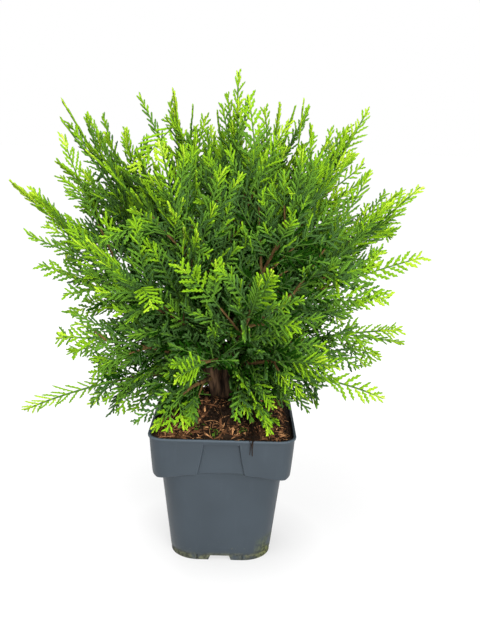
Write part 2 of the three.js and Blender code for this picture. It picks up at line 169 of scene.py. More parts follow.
# Loose roots: a bundle that runs out to the rim in front, and single ones round it
ROOT_BUNDLE = ((0.016, -0.020), (0.022, -0.040), (0.0265, -0.058))
ROOT_STRANDS = 44
ROOTS_IN_BUNDLE = 20
ROOTS_OVER_RIM = 4
ROOT_STEPS = 4
ROOT_LENGTH = 0.022
ROOT_RADII = (0.0006, 0.00028)
ROOT_END_RADIUS = 0.00026
ROOT_SHIFT = 0.0004
ROOT_CLEAR = 0.004
ROOT_WANDER = 0.0008
ROOT_LIFT = 0.002
ROOTS_ACROSS = (-0.035, 0.045)
ROOTS_DEEP = (-0.045, 0.0)
ROOT_SIDES = 4
BUNDLE_SPREAD = 0.0055
OVER_RIM_SPREAD = 0.0022

# Seedlings: where each tuft stands and how wide it is
SEEDLINGS = ((-0.024, -0.047, 0.0065), (-0.006, -0.054, 0.0035), (0.018, -0.050, 0.0035),
             (-0.043, -0.020, 0.004), (0.046, 0.012, 0.004), (-0.030, 0.040, 0.005))
SEED_LEAVES = 26
SEED_SHAPES = 3
SEED_SIZE = 0.004

# Stems: a turn from the right-hand side for each, seen from above
STEM_TURNS = (205, 290, 25, 115)
STEM_FOOT_OUT = (0.0035, 0.005, 0.006, 0.005)
STEM_TOP_OUT = (0.025, 0.019, 0.024, 0.020)
STEM_TOP_HEIGHT = (0.236, 0.226, 0.229, 0.238)
STEM_FOOT_RADIUS = (0.0072, 0.0064, 0.0052, 0.0062)
STEM_TOP_RADIUS = 0.0029
STEM_BURIED = 0.008
STEM_BOW = 0.003
ROOT_FLARE = 1.45
ROOT_FLARE_HEIGHT = 0.012
STEM_SIDES = 26
BOUGH_SIDES = 12

# Limbs, tier by tier, spread evenly round the clump from the first turn. Rise is in degrees above the level.
HEART = Vector((0, 0, 0.190))
TIERS = (
    {"name": "skirt", "first": 234, "start": 0.164, "arch": 0.020,
     "rise": (-29, -27, -16, -12, -15, -21),
     "reach": (0.114, 0.112, 0.154, 0.152, 0.156, 0.210)},
    {"name": "low", "first": 205, "start": 0.178, "arch": 0.009,
     "rise": (8, 4, 6, 7, 11, 13, 15),
     "reach": (0.152, 0.148, 0.150, 0.163, 0.168, 0.166, 0.208)},
    {"name": "shoulder", "first": 180, "start": 0.194, "arch": -0.005,
     "rise": (37, 34, 31, 42, 37, 37, 38),
     "reach": (0.242, 0.196, 0.186, 0.230, 0.238, 0.212, 0.226)},
    {"name": "high", "first": 172, "start": 0.211, "arch": -0.006,
     "rise": (55, 58, 60, 56, 58),
     "reach": (0.265, 0.216, 0.222, 0.264, 0.236)},
    {"name": "leader", "first": 165, "start": 0.226, "arch": -0.002,
     "rise": (77, 84, 74),
     "reach": (0.232, 0.243, 0.229)},
)
START_STAGGER = 0.0035
LAST_START = 0.97
BOUGH_SHARE = 0.28
LIMB_ROOT_RADIUS = 0.0026
LIMB_JOINT_RADIUS = 0.0018
LIMB_TIP_RADIUS = 0.0006
GOLDEN_TURN = math.radians(137.5)
FIRST_SEED = 100


def by_tier(*values):
    """One value for each tier, from the skirt up to the leader."""
    return dict(zip([tier["name"] for tier in TIERS], values))


# How a shoot bends as it grows: upwards, and outwards from the trunk
BEND_UP = by_tier(-0.72, -0.55, 0.10, 0.40, 0.4)
BEND_OUT = by_tier(0.8, 0.65, 0.35, 0.15, 0.1)
BEND_LENGTH = 0.09

# How fast a spray widens back from its tip
SLENDER = by_tier(0.25, 0.25, 0.25, 0.18, 0.16)

# Share of the sprays whose branchlets are flat fronds
FRONDS = by_tier(0.55, 0.5, 0.4, 0.2, 0.15)

# Numbers of long branches on a limb, of branches that fill the room beside it, of broad hanging fans and
# of slender leading shoots
BRANCHES = by_tier(2, 3, 7, 8, 8)
BETWEEN = by_tier(0, 0, 2, 4, 4)
FANS = by_tier(1, 3, 6, 4, 1)
SPEARS = by_tier(0, 1, 5, 7, 6)

# How much the gaps between side shoots widen towards the tip, and those between inner shoots everywhere
OPENNESS = by_tier(6.2, 5.4, 1.8, 1.1, 1.0)
INNER_GAPS = by_tier(0.55, 0.8, 1.0, 1.0, 1.0)

# How far the ordinary shoots go, as a share of the reach of the crown
SHOOT_LIMIT = by_tier(0.95, 0.90, 0.86, 0.87, 0.88)
LIMIT_SPREAD = 0.30

# Share of a limb's side shoots that keep to one plane
FLATNESS = by_tier(1.0, 0.8, 0.35, 0.15, 0.0)

# How much lighter the sprays of a tier are
TIER_TONE = by_tier(0.15, 0.14, 0.0, 0.0, 0.0)

# Places along a limb, as shares of its length
BRANCH_SPAN = (0.16, 0.72)
SHOOT_SPAN = (0.06, 0.86)
INNER_SPAN = (0.04, 0.50)
END_SPRAY = (0.55, 1.0)
FAN_SPAN = (0.55, 0.93)
SPEAR_SPAN = (0.45, 0.72)
BETWEEN_SPAN = (0.2, 0.42)

# The part of a long branch that carries shoots, and how much wider their gaps are than on the limb
FORK_SPAN = (0.12, 0.62)
FORK_GAP = 1.25

# How far shoots lean from what carries them, degrees
BRANCH_LEAN = (20, 38)
FORK_LEAN = (28, 42)
SHOOT_LEAN = (55, 27)
INNER_LEAN = (30, 80)
SPEAR_LEAN = (9, 30)

# How long they are at the foot and at the tip, as a share of the limb's reach or of the branch
BRANCH_SIZE = (0.60, 0.30)
SHOOT_SIZE = (0.40, 0.22)
FORK_SIZE = (0.62, 0.36)

# Shortest and longest of the others, metres
INNER_SIZE = (0.026, 0.055)
STEM_SHOOT_SIZE = (0.040, 0.100)
FAN_SIZE = (0.050, 0.085)

# Limbs that reach less than this carry side shoots this many times longer
SHORT_REACH = 0.13
SHORT_WIDTH = 1.5

# Cosines of the angles at which another limb counts as a neighbour
NEIGHBOUR = (0.60, 0.96)

# Shoots on a stem, and lengths below which nothing grows
STEM_SHOOTS = 54
SHORTEST_SHOOT = 0.018
SHORTEST_FAN = 0.025
SHORTEST_BRANCH = 0.03

# Share of the fans that are of new growth, and how much lighter those are
YOUNG_FANS = 0.24
FAN_TONE = 0.17

# Twigs: the skin, the first and last share of the path, the first and last radius and the number of steps
LIMB_TWIG = ("twig", BOUGH_SHARE, 0.50, LIMB_JOINT_RADIUS, 0.0011, 5)
LIMB_GREEN = ("green", 0.49, 0.985, 0.0012, 0.0008, 8)
BRANCH_TWIG = ("twig", 0.0, 0.40, 0.0011, 0.0008, 5)
BRANCH_GREEN = ("green", 0.39, 0.98, 0.0008, 0.0006, 6)
SHOOT_GREEN = ("green", 0.0, 0.97, 0.0007, 0.0005, 5)
SPEAR_GREEN = ("green", 0.0, 0.97, 0.0009, 0.0006, 7)
FAN_GREEN = ("green", 0.0, 0.97, 0.0007, 0.0005, 6)

# Shapes to scatter: cords are rounded branchlets of young growth, fronds are flat older ones. Lengths, the
# longest one without side branches, the radius of the axis and the size of a lobe are in metres, the lean is
# in degrees. Room is what a branchlet keeps from the next: a share of the usual gap, and the length that adds
# a whole one.
VARIANTS = 4
BLADE = 0
HABITS = {
    "cord": {"first": 1, "lengths": (0.0085, 0.0145, 0.0215), "longest": 0.0245, "radius": 0.00087,
             "lobe": (0.0030, 0.0015), "gap": 0.0019, "lean": 19, "room": (0.58, 0.043), "wider": 0},
    "frond": {"first": 1 + 3 * VARIANTS, "lengths": (0.0105, 0.0165, 0.0240), "longest": 0.0315,
              "radius": 0.00105, "lobe": (0.0036, 0.0021), "gap": 0.0020, "lean": 27,
              "room": (0.62, 0.045), "wider": 6},
}
AXIS_HALF = 0.00060
AXIS_SIDES = 3
AXIS_SHAPE = ((0.0, 0.7), (0.5, 1.0), (0.86, 0.95))
LOBE_OUTLINE = ((0.0, -0.34, 0.06), (0.70, -0.5, -0.1), (1.0, 0.0, 0.0), (0.70, 0.5, -0.1),
                (0.0, 0.34, 0.06))
SHAPE_SEED = 3

# A spray: what its tip keeps bare, its branchlets at the tip and at the widest, their lean and its last cord
TIP_BARE = 0.006
SPRAY_TIP = 0.0075
SPRAY_WIDEST = 0.045
SPRAY_LEAN = (40, 24)
SPRAY_END = 0.0145

# The same for a branchlet with side branches of its own
SIDE_TIP = 0.0070
SIDE_WIDENS = 0.36
SIDE_WIDEST = 0.0200
SIDE_LEAN = (36, 25)
SIDE_END = 0.0130
SHORTEST_FROND = 0.0095
SHORTEST_BRANCHLET = 0.005

# How the crown falls back between limbs
FALLOFF_ANGLE = math.radians(30)
FALLOFF = 0.17

# The bare foot of the clump in front
BARE_MIDDLE = -0.007
BARE_HALF = 0.012
BARE_TOP = 0.166
BARE_ROUND = 0.024

# What decides a tone, low in the crown and high in it: its start, the way out and the way along a spray
# The way out partly paints shade: the deeper inside the crown a spray lies, the darker its tone
TONE_START = (0.255, 0.225)
TONE_OUT = (0.275, 0.385)
TONE_ALONG = (0.13, 0.22)

# Tones of green from the shaded inside of the crown to the lime-coloured new growth
TONES = ("shade", "deep", "mid", "fresh", "bright", "lime")
TONE_STEPS = (0.25, 0.39, 0.56, 0.77, 0.98)


def mix(a, b, share):
    return a + (b - a) * share


def clamp(value):
    return min(1.0, max(0.0, value))


def smooth(low, high, value):
    share = clamp((value - low) / (high - low))
    return share * share * (3 - 2 * share)


def aim(turn, rise):
    turn, rise = math.radians(turn), math.radians(rise)
    return Vector((math.cos(rise) * math.cos(turn), math.cos(rise) * math.sin(turn), math.sin(rise)))


def square_to(axis, direction):
    """The part of a direction that stands square to an axis."""
    return (direction - axis * direction.dot(axis)).normalized()


def leaning(along, across, angle):
    return along * math.cos(angle) + across * math.sin(angle)


def jitter(draw, spread):
    return Vector((draw.gauss(0, spread), draw.gauss(0, spread), draw.gauss(0, spread)))


def around(sides):
    """Even angles round a ring."""
    return [2 * math.pi * i / sides for i in range(sides)]


def ring_faces(sides, rings):
    """Faces between one ring of points and the next."""
    faces = []
    for low in range(0, (rings - 1) * sides, sides):
        for i in range(sides):
            j = (i + 1) % sides
            faces.append((low + i, low + j, low + sides + j, low + sides + i))
    return faces


def shaded(colour, share):
    return [min(1.0, part * share) for part in colour]


# Settings

def length_property(name, value, text, low=0.0):
    return FloatProperty(name=name, description=text, default=value, min=low, unit="LENGTH", precision=4)


def number_property(name, value, text, low=0.0, high=1000.0):
    return FloatProperty(name=name, description=text, default=value, min=low, max=high)


def count_property(name, value, text, low=0):
    return IntProperty(name=name, description=text, default=value, min=low)


def colour_property(name, value, text):
    return FloatVectorProperty(name=name, description=text, default=value, min=0.0, max=1.0, size=3,
                               subtype="COLOR")


class PotSettings(PropertyGroup):
    plastic: colour_property("Plastic", (0.0215, 0.0288, 0.0358), "Colour of the moulded pot")
    dirt: colour_property("Dirt", (0.075, 0.078, 0.045), "Dried peat along the foot")
    algae: colour_property("Algae", (0.085, 0.095, 0.035), "Green film on one lower corner")
    corner_steps: count_property("Corner Steps", 14, "Facets in each rounded corner", 4)


class SoilSettings(PropertyGroup):
    peat: colour_property("Peat", (0.010, 0.0055, 0.003), "Colour of the peat between the chips")
    chip: colour_property("Chip", (0.138, 0.060, 0.026), "Colour of the red bark chips")
    pale_chip: colour_property("Pale Chip", (0.39, 0.20, 0.085), "Colour of the weathered chips and fibres")
    weed: colour_property("Seedlings", (0.07, 0.16, 0.012), "Colour of the tiny plants in the peat")
    chips: count_property("Chips", 2200, "Number of dark bark chips")
    pale_chips: count_property("Pale Chips", 600, "Number of orange bark chips")
    fibres: count_property("Fibres", 420, "Number of loose fibres")
    crumbs: count_property("Crumbs", 3200, "Number of peat crumbs")


class WoodSettings(PropertyGroup):
    bark: colour_property("Bark", (0.010, 0.006, 0.004), "Colour of the old bark")
    bark_light: colour_property("Peeling Bark", (0.125, 0.072, 0.040), "Colour of its peeling strips")
    twig: colour_property("Twig", (0.165, 0.098, 0.034), "Colour of the young brown twigs")
    relief: length_property("Relief", 0.0016, "Depth of the furrows in the bark")
    ring_gap: length_property("Ring Gap", 0.0014, "Distance between rings of the bark mesh", 0.0005)


class CrownSettings(PropertyGroup):
    shade: colour_property("Shade", (0.007, 0.032, 0.002), "Oldest sprays, inside the crown")
    deep: colour_property("Deep", (0.037, 0.083, 0.020), "Old sprays")
    mid: colour_property("Mid", (0.068, 0.153, 0.015), "Grown sprays")
    fresh: colour_property("Fresh", (0.132, 0.258, 0.009), "This year's sprays")
    bright: colour_property("Bright", (0.236, 0.362, 0.018), "Young ends")
    lime: colour_property("Lime", (0.37, 0.50, 0.075), "New growth at the tips")
    shoot_gap: length_property("Shoot Gap", 0.0088, "Distance between shoots along a limb", 0.003)
    inner_gap: length_property("Inner Gap", 0.0055, "Distance between short shoots inside the crown", 0.002)
    sprig_gap: length_property("Branchlet Gap", 0.0040, "Distance between branchlets along a shoot", 0.002)
    seed: count_property("Seed", FIRST_SEED, "Start of the random numbers", 1)


class StageSettings(PropertyGroup):
    floor: colour_property("Floor", (0.92, 0.92, 0.92), "Colour of the floor")
    near_glow: number_property("Near Glow", 0.785, "Whiteness that the camera adds round the pot")
    far_glow: number_property("Far Glow", 0.97, "Whiteness that the camera adds further away")
    # Painted contact shadow: the floor's glow is dimmed to this share at the foot of the pot
    foot_shadow_glow: number_property("Foot Glow", 0.84, "Share of it that is left at the foot of the pot", high=1.0)
    shadow: number_property("Shadow", 0.13, "Share of the light and shadow on the floor that the camera sees",
                            high=1.0)
    world: number_property("Sky", 0.32, "Strength of the even light all round")
    key: number_property("Key Light", 31.5, "Power of the soft box overhead")
    fill: number_property("Front Light", 51.0, "Power of the soft box in front")
    back: number_property("Back Light", 16.0, "Power of the soft box behind")
    lens: number_property("Lens", 44.44, "Focal length in millimetres", 1.0)


class ArborvitaeSettings(PropertyGroup):
    pot: PointerProperty(type=PotSettings, name="Pot")
    soil: PointerProperty(type=SoilSettings, name="Soil")
    wood: PointerProperty(type=WoodSettings, name="Wood")
    crown: PointerProperty(type=CrownSettings, name="Crown")
    stage: PointerProperty(type=StageSettings, name="Stage")


# Meshes and node trees

def feed(tree, socket, source):
    """Links a socket to another, or gives it a value."""
    if isinstance(source, bpy.types.NodeSocket):
        tree.links.new(source, socket)
    else:
        socket.default_value = source


def add_node(tree, kind, inputs, values):
    made = tree.nodes.new(kind)
    for label, value in values.items():
        setattr(made, label, value)
    for socket, source in dict(inputs).items():
        feed(tree, made.inputs[socket], source)
    return made


def mesh_object(name, points, faces, material=None, edges=()):
    mesh = bpy.data.meshes.new(name)
    mesh.from_pydata([tuple(p) for p in points], edges, faces)
    mesh.validate()
    mesh.update()
    if material:
        mesh.materials.append(material)
    made = bpy.data.objects.new(name, mesh)
    bpy.context.scene.collection.objects.link(made)
    return made


def carrier_object(name, points, floats=None, vectors=None, integers=None, edges=()):
    """Bare points or edges with the values that a node tree reads."""
    made = mesh_object(name, points, (), edges=edges)
    rows = [(label, "FLOAT", "value", np.float32, row) for label, row in (floats or {}).items()]
    rows += [(label, "FLOAT_VECTOR", "vector", np.float32, row) for label, row in (vectors or {}).items()]
    rows += [(label, "INT", "value", np.int32, row) for label, row in (integers or {}).items()]
    for label, kind, field, number, row in rows:
        attribute = made.data.attributes.new(label, kind, "POINT")
        attribute.data.foreach_set(field, np.asarray(row, number).ravel())
    return made


SCATTER = "Scatter Shapes"
SKIN = "Skin Twigs"
NODE_GAP = 180


class TreeBuilder:
    """A geometry node tree with named inputs, laid out left to right."""

    def __init__(self, name, inputs):
        self.tree = bpy.data.node_groups.new(name, "GeometryNodeTree")
        face = self.tree.interface
        face.new_socket("Geometry", in_out="INPUT", socket_type="NodeSocketGeometry")
        for label, kind in inputs:
            face.new_socket(label, in_out="INPUT", socket_type=kind)
        face.new_socket("Geometry", in_out="OUTPUT", socket_type="NodeSocketGeometry")
        self.given = self.tree.nodes.new("NodeGroupInput").outputs
        self.step = 0

    def node(self, kind, inputs=(), **values):
        self.step += 1
        return add_node(self.tree, kind, inputs, {"location": (self.step * NODE_GAP, 0), **values})

    def attribute(self, label, kind):
        named = self.node("GeometryNodeInputNamedAttribute", {"Name": label}, data_type=kind)
        return named.outputs["Attribute"]

    def close(self, geometry, material):
        """Ends the tree in Realize Instances, Set Shade Smooth and Set Material."""
        smooth_faces = self.node("GeometryNodeSetShadeSmooth", {"Geometry": geometry})
        real = self.node("GeometryNodeRealizeInstances", {"Geometry": smooth_faces.outputs["Geometry"]})
        dressed = self.node("GeometryNodeSetMaterial",
                            {"Geometry": real.outputs["Geometry"], "Material": material})
        end = self.tree.nodes.new("NodeGroupOutput")
        self.tree.links.new(dressed.outputs["Geometry"], end.inputs["Geometry"])
        return self.tree


def scatter_tree():
    """Puts the shape that each point asks for on it, turned along its own two directions."""
    build = TreeBuilder(SCATTER, (("Shapes", "NodeSocketCollection"), ("Scale", "NodeSocketFloat"),
                                  ("Material", "NodeSocketMaterial")))
    shapes = build.node("GeometryNodeCollectionInfo", {"Collection": build.given["Shapes"],
                                                       "Separate Children": True, "Reset Children": True})
    turn = build.node("FunctionNodeAxesToRotation",
                      {"Primary Axis": build.attribute("along", "FLOAT_VECTOR"),
                       "Secondary Axis": build.attribute("face", "FLOAT_VECTOR")},
                      primary_axis="X", secondary_axis="Z")
    size = build.node("ShaderNodeVectorMath",
                      {0: build.attribute("size", "FLOAT_VECTOR"), "Scale": build.given["Scale"]},
                      operation="SCALE")
    placed = build.node("GeometryNodeInstanceOnPoints",
                        {"Points": build.given["Geometry"], "Instance": shapes.outputs["Instances"],
                         "Pick Instance": True, "Instance Index": build.attribute("shape", "INT"),
                         "Rotation": turn.outputs["Rotation"], "Scale": size.outputs["Vector"]})
    return build.close(placed.outputs["Instances"], build.given["Material"])


def tube_tree():
    """Skins every run of edges as a tapered tube."""
    build = TreeBuilder(SKIN, (("Sides", "NodeSocketInt"), ("Thickness", "NodeSocketFloat"),
                               ("Material", "NodeSocketMaterial")))
    curve = build.node("GeometryNodeMeshToCurve", {"Mesh": build.given["Geometry"]})
    radius = build.node("ShaderNodeMath",
                        {0: build.attribute("thickness", "FLOAT"), 1: build.given["Thickness"]},
                        operation="MULTIPLY")
    ring = build.node("GeometryNodeCurvePrimitiveCircle", {"Resolution": build.given["Sides"], "Radius": 1.0})
    skin = build.node("GeometryNodeCurveToMesh",
                      {"Curve": curve.outputs["Curve"], "Profile Curve": ring.outputs["Curve"],
                       "Scale": radius.outputs["Value"], "Fill Caps": True})
    return build.close(skin.outputs["Mesh"], build.given["Material"])


def keep_result(made):
    """Swaps the mesh of an object for what its modifiers make of it."""
    graph = bpy.context.evaluated_depsgraph_get()
    result = bpy.data.meshes.new_from_object(made.evaluated_get(graph), preserve_all_data_layers=True,
                                             depsgraph=graph)
    made.modifiers.clear()
    rough = made.data
    made.data = result
    bpy.data.meshes.remove(rough)


def grow_from_tree(made, tree, inputs):
    """Runs a node tree on an object once and keeps the result as its plain mesh."""
    modifier = made.modifiers.new("Growth", "NODES")
    modifier.node_group = tree
    for item in tree.interface.items_tree:
        if item.in_out == "INPUT" and item.name in inputs:
            modifier[item.identifier] = inputs[item.name]
    keep_result(made)
    made.data.name = made.name
    for label in ("along", "face", "size", "shape", "thickness"):
        if label in made.data.attributes:
            made.data.attributes.remove(made.data.attributes[label])


def shape_collection(name, shapes):
    """A collection of small meshes, in order, for a tree to pick from."""
    group = bpy.data.collections.new(name)
    for index, (points, faces) in enumerate(shapes):
        label = f"{name}_{index:02d}"
        mesh = bpy.data.meshes.new(label)
        mesh.from_pydata([tuple(p) for p in points], (), faces)
        mesh.update()
        group.objects.link(bpy.data.objects.new(label, mesh))
    return group


def join_shapes(shapes):
    points, faces = [], []
    for more_points, more_faces in shapes:
        first = len(points)
        points += more_points
        faces += [tuple(first + i for i in face) for face in more_faces]
    return points, faces


def drop_collection(group):
    for made in list(group.objects):
        mesh = made.data
        bpy.data.objects.remove(made)
        bpy.data.meshes.remove(mesh)
    bpy.data.collections.remove(group)


def finish_piece(piece, slot, nodes):
    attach(piece, BODY)
    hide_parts(*nodes)


def scatter(name, rows, shapes, material, slot, nodes):
    """One piece made of many placed shapes."""
    roots, along, face, size, shape = zip(*rows)
    made = carrier_object(name, roots, vectors={"along": along, "face": face, "size": size},
                          integers={"shape": shape})
    tree = bpy.data.node_groups.get(SCATTER) or scatter_tree()
    grow_from_tree(made, tree, {"Shapes": shapes, "Scale": 1.0, "Material": material})
    finish_piece(made, slot, nodes)


def skin_runs(name, runs, sides, material, slot, nodes):
    """One piece made of many tapered tubes, each a run of points with its radii."""
    points, radii, edges = [], [], []
    for run, thickness in runs:
        first = len(points)
        points += run
        radii += thickness
        edges += [(first + i, first + i + 1) for i in range(len(run) - 1)]
    made = carrier_object(name, points, floats={"thickness": radii}, edges=edges)
    tree = bpy.data.node_groups.get(SKIN) or tube_tree()
    grow_from_tree(made, tree, {"Sides": sides, "Thickness": 1.0, "Material": material})
    finish_piece(made, slot, nodes)


# Materials

def opaque(value):
    """A socket as it is, or a colour with its alpha."""
    return value if isinstance(value, bpy.types.NodeSocket) else (*value, 1.0)


class Shader:
    """A principled material and the few nodes that its patterns need."""

    def __init__(self, name, roughness, specular=0.5):
        self.material = bpy.data.materials.new(name)
        self.material.use_nodes = True
        self.tree = self.material.node_tree
        self.surface = self.tree.nodes["Principled BSDF"]
        self.give("Roughness", roughness)
        self.give("Specular IOR Level", specular)
        self.place = self.node("ShaderNodeTexCoord").outputs["Object"]

    def give(self, label, source):
        feed(self.tree, self.surface.inputs[label], source)

    def colour(self, value):
        self.give("Base Color", opaque(value))

    def node(self, kind, inputs=(), **values):
        return add_node(self.tree, kind, inputs, values)

    def stretched(self, scale):
        mapping = self.node("ShaderNodeMapping", {"Vector": self.place, "Scale": scale})
        return mapping.outputs["Vector"]

    def noise(self, scale, detail=3.0, rough=0.5, place=None):
        return self.node("ShaderNodeTexNoise", {"Vector": place or self.place, "Scale": scale,
                                                "Detail": detail, "Roughness": rough}).outputs["Fac"]

    def cells(self, scale):
        return self.node("ShaderNodeTexVoronoi", {"Vector": self.place, "Scale": scale}).outputs["Distance"]

    def ramp(self, value, low, high, to_low=0.0, to_high=1.0):
        return self.node("ShaderNodeMapRange", {"Value": value, "From Min": low, "From Max": high,
                                                "To Min": to_low, "To Max": to_high}).outputs["Result"]

    def fade(self, value, low, high):
        return self.ramp(value, low, high, 1.0, 0.0)

    def maths(self, operation, a, b=0.0):
        return self.node("ShaderNodeMath", {0: a, 1: b}, operation=operation).outputs["Value"]

    def times(self, a, b):
        return self.maths("MULTIPLY", a, b)

    def blend(self, share, a, b):
        made = self.node("ShaderNodeMix", {0: share, 6: opaque(a), 7: opaque(b)}, data_type="RGBA")
        return made.outputs[2]

    def bump(self, height, distance, strength=1.0):
        made = self.node("ShaderNodeBump", {"Height": height, "Distance": distance, "Strength": strength})
        self.give("Normal", made.outputs["Normal"])


# Lumps to a metre in the patterns, and how they are stretched along a stem and down the pot
CLOUDS = 22.0
PATCHES = 75.0
SCRATCHES = 260.0
SPECKLE = 330.0
PLASTIC_GRAIN = 1500.0
LEAF_SCALES = 900.0
UP_STEM = (1.0, 1.0, 0.14)
DOWN_POT = (1.0, 1.0, 0.08)

# Depths of the bumps, metres
PLASTIC_BUMP = 0.00006
EARTH_BUMP = 0.0004
BARK_BUMP = 0.0006
LEAF_BUMP = 0.00022

# Roughness and shine of each material
SATIN = (0.44, 0.56)
DIRTY = 0.9
PLASTIC_SHINE = 0.16
EARTH_ROUGH = 0.95
BARK_ROUGH = 0.92
LEAF_ROUGH = 0.58
FLOOR_ROUGH = 0.9
DULL_SHINE = 0.1

# Where the marks on the pot begin and end: heights above the foot, but for the corner and the panel
# The first pair is a painted highlight: the top of the rim is lightened as if it caught the light
RIM_HIGHLIGHT = (POT_HEIGHT - 0.0022, POT_HEIGHT - 0.0004)
# The next three pairs place a painted shade line under the overhanging top edge of the label panel
SHADE_LINE_ABOVE = (0.0002, 0.0007)
SHADE_LINE_BESIDE = (PANEL_TOP_HALF - 0.0004, PANEL_TOP_HALF)
SHADE_LINE_FRONT = (-0.052, -0.050)
CRUST_HEIGHT = (0.0045, 0.0085)
SPLASH_HEIGHT = (0.008, 0.03)
ALGAE_CORNER = (0.030, 0.043)
ALGAE_HEIGHT = (0.010, 0.026)
CRUST_DIRT = 0.8
# Lightening for the pale scratches, which are wear, and for the painted highlight along the rim
SCUFF_AND_HIGHLIGHT = 1.9


def pot_plastic(given):
    """Satin slate-grey plastic, scuffed, with peat dried along the foot, algae on one corner, a painted
    highlight along the rim and a painted shade line under the top edge of the label panel.
    """
    shader = Shader("pot_plastic", DIRTY, PLASTIC_SHINE)
    axes = shader.node("ShaderNodeSeparateXYZ", {"Vector": shader.place}).outputs
    clouds = shader.noise(CLOUDS, 4.0)
    speckle = shader.noise(SPECKLE, 5.0, 0.65)
    patches = shader.noise(PATCHES)
    scratches = shader.noise(SCRATCHES, 2.0, place=shader.stretched(DOWN_POT))
    grain = shader.noise(PLASTIC_GRAIN, 2.0)

    scuffs_and_highlight = shaded(given.plastic, SCUFF_AND_HIGHLIGHT)
    plastic = shader.blend(shader.ramp(clouds, 0.3, 0.7),
                           shaded(given.plastic, 0.9), shaded(given.plastic, 1.12))
    plastic = shader.blend(shader.ramp(scratches, 0.62, 0.74, 0.0, 0.08), plastic, scuffs_and_highlight)
    # Painted highlight: the top of the rim is lightened as if it caught the light
    plastic = shader.blend(shader.ramp(axes["Z"], *RIM_HIGHLIGHT), plastic, scuffs_and_highlight)

    # Painted shade: a thin dark line under the top edge of the recessed label panel, where its overhang casts
    # shadow
    above = shader.maths("ABSOLUTE", shader.maths("SUBTRACT", axes["Z"], PANEL_TOP))
    beside = shader.maths("ABSOLUTE", axes["X"])
    crease_shade = shader.times(shader.ramp(above, *SHADE_LINE_ABOVE, 0.6, 0.0), shader.fade(beside, *SHADE_LINE_BESIDE))
    crease_shade = shader.times(crease_shade, shader.fade(axes["Y"], *SHADE_LINE_FRONT))
    plastic = shader.blend(crease_shade, plastic, shaded(given.plastic, 0.3))

    crust = shader.times(shader.fade(axes["Z"], *CRUST_HEIGHT), shader.ramp(patches, 0.36, 0.5))
    splashes = shader.times(shader.fade(axes["Z"], *SPLASH_HEIGHT), shader.ramp(speckle, 0.66, 0.7))
    dirt = shader.maths("MAXIMUM", shader.times(crust, CRUST_DIRT), splashes)
    mottled = shader.blend(shader.ramp(speckle, 0.42, 0.58), shaded(given.dirt, 0.25), given.dirt)
    stained = shader.blend(dirt, plastic, mottled)

    corner = shader.times(shader.ramp(axes["X"], *ALGAE_CORNER), shader.fade(axes["Z"], *ALGAE_HEIGHT))
    film = shader.times(corner, shader.ramp(patches, 0.34, 0.46))
    green = shader.blend(shader.ramp(speckle, 0.42, 0.56), shaded(given.algae, 0.2), given.algae)
    shader.colour(shader.blend(film, stained, green))

    satin = shader.ramp(clouds, 0.3, 0.7, *SATIN)
    rough = shader.node("ShaderNodeMix", {0: shader.maths("MAXIMUM", dirt, film), 2: satin, 3: DIRTY})
    shader.give("Roughness", rough.outputs[0])
    shader.bump(shader.maths("ADD", grain, shader.times(dirt, 3.0)), PLASTIC_BUMP)
    return shader.material


def earth(name, dark, light, scale):
    """Rough organic crumbs between two colours."""
    shader = Shader(name, EARTH_ROUGH, DULL_SHINE)
    grain = shader.noise(scale, 4.0, 0.6)
    shader.colour(shader.blend(shader.ramp(grain, 0.35, 0.65), dark, light))
    shader.bump(shader.noise(scale * 3), EARTH_BUMP)
    return shader.material


def bark_wood(name, dark, light, scale):
    """Stringy bark: long fibres up the stem and paler strips where it peels."""
    shader = Shader(name, BARK_ROUGH, DULL_SHINE)
    fibres = shader.noise(scale, 5.0, 0.62, place=shader.stretched(UP_STEM))
    blotches = shader.noise(scale * 0.35)
    strips = shader.times(shader.ramp(fibres, 0.42, 0.66), shader.ramp(blotches, 0.25, 0.7, 0.35, 1.0))
    shader.colour(shader.blend(strips, dark, light))
    shader.bump(fibres, BARK_BUMP)
    return shader.material


def scale_leaf(name, colour):
    """Waxy overlapping scales on a plain green."""
    shader = Shader(name, LEAF_ROUGH, 0.0)
    shader.colour(colour)
    shader.bump(shader.cells(LEAF_SCALES), LEAF_BUMP, 0.7)
    return shader.material


# Pot

def square_ring(half, corner, height, steps, panel_half, arch):
    """One turn round a rounded square. Columns on each side close up where the label panel's edges run."""
    flat = half - corner
    near, far = panel_half - PANEL_BEVEL / 2, panel_half + PANEL_BEVEL / 2
    run = [mix(-flat, -far, share) for share in LEFT_COLUMNS]
    run += [near * share for share in PANEL_COLUMNS]
    run += [mix(far, flat, share) for share in RIGHT_COLUMNS]
    side = [(half, y) for y in run]
    for step in range(1, steps):
        angle = math.radians(90) * step / steps
        side.append((flat + corner * math.cos(angle), flat + corner * math.sin(angle)))
    ring = []
    for turn in QUARTERS:
        for x, y in side:
            inner = min(abs(x), abs(y)) / half
            ring.append(turn @ Vector((x, y, height + arch * (1 - inner * inner))))
    return ring


def skirt_half_at(height):
    share = (height - SKIRT_FOOT) / (POT_HEIGHT - SKIRT_FOOT)
    return mix(SKIRT_HALF, RIM_HALF - LIP_PROUD, share)


def panel_half_at(height):
    return mix(PANEL_FOOT_HALF, PANEL_TOP_HALF, clamp((height - SKIRT_FOOT) / (PANEL_TOP - SKIRT_FOOT)))


def round_rings(half, height, radius, start, end, count, corner, arch=0.0):
    """Rings of the profile round an arc, angles in degrees from straight out."""
    angles = [math.radians(mix(start, end, i / count)) for i in range(count + 1)]
    return [(half + radius * math.cos(angle), corner, height + radius * math.sin(angle), arch)
            for angle in angles]


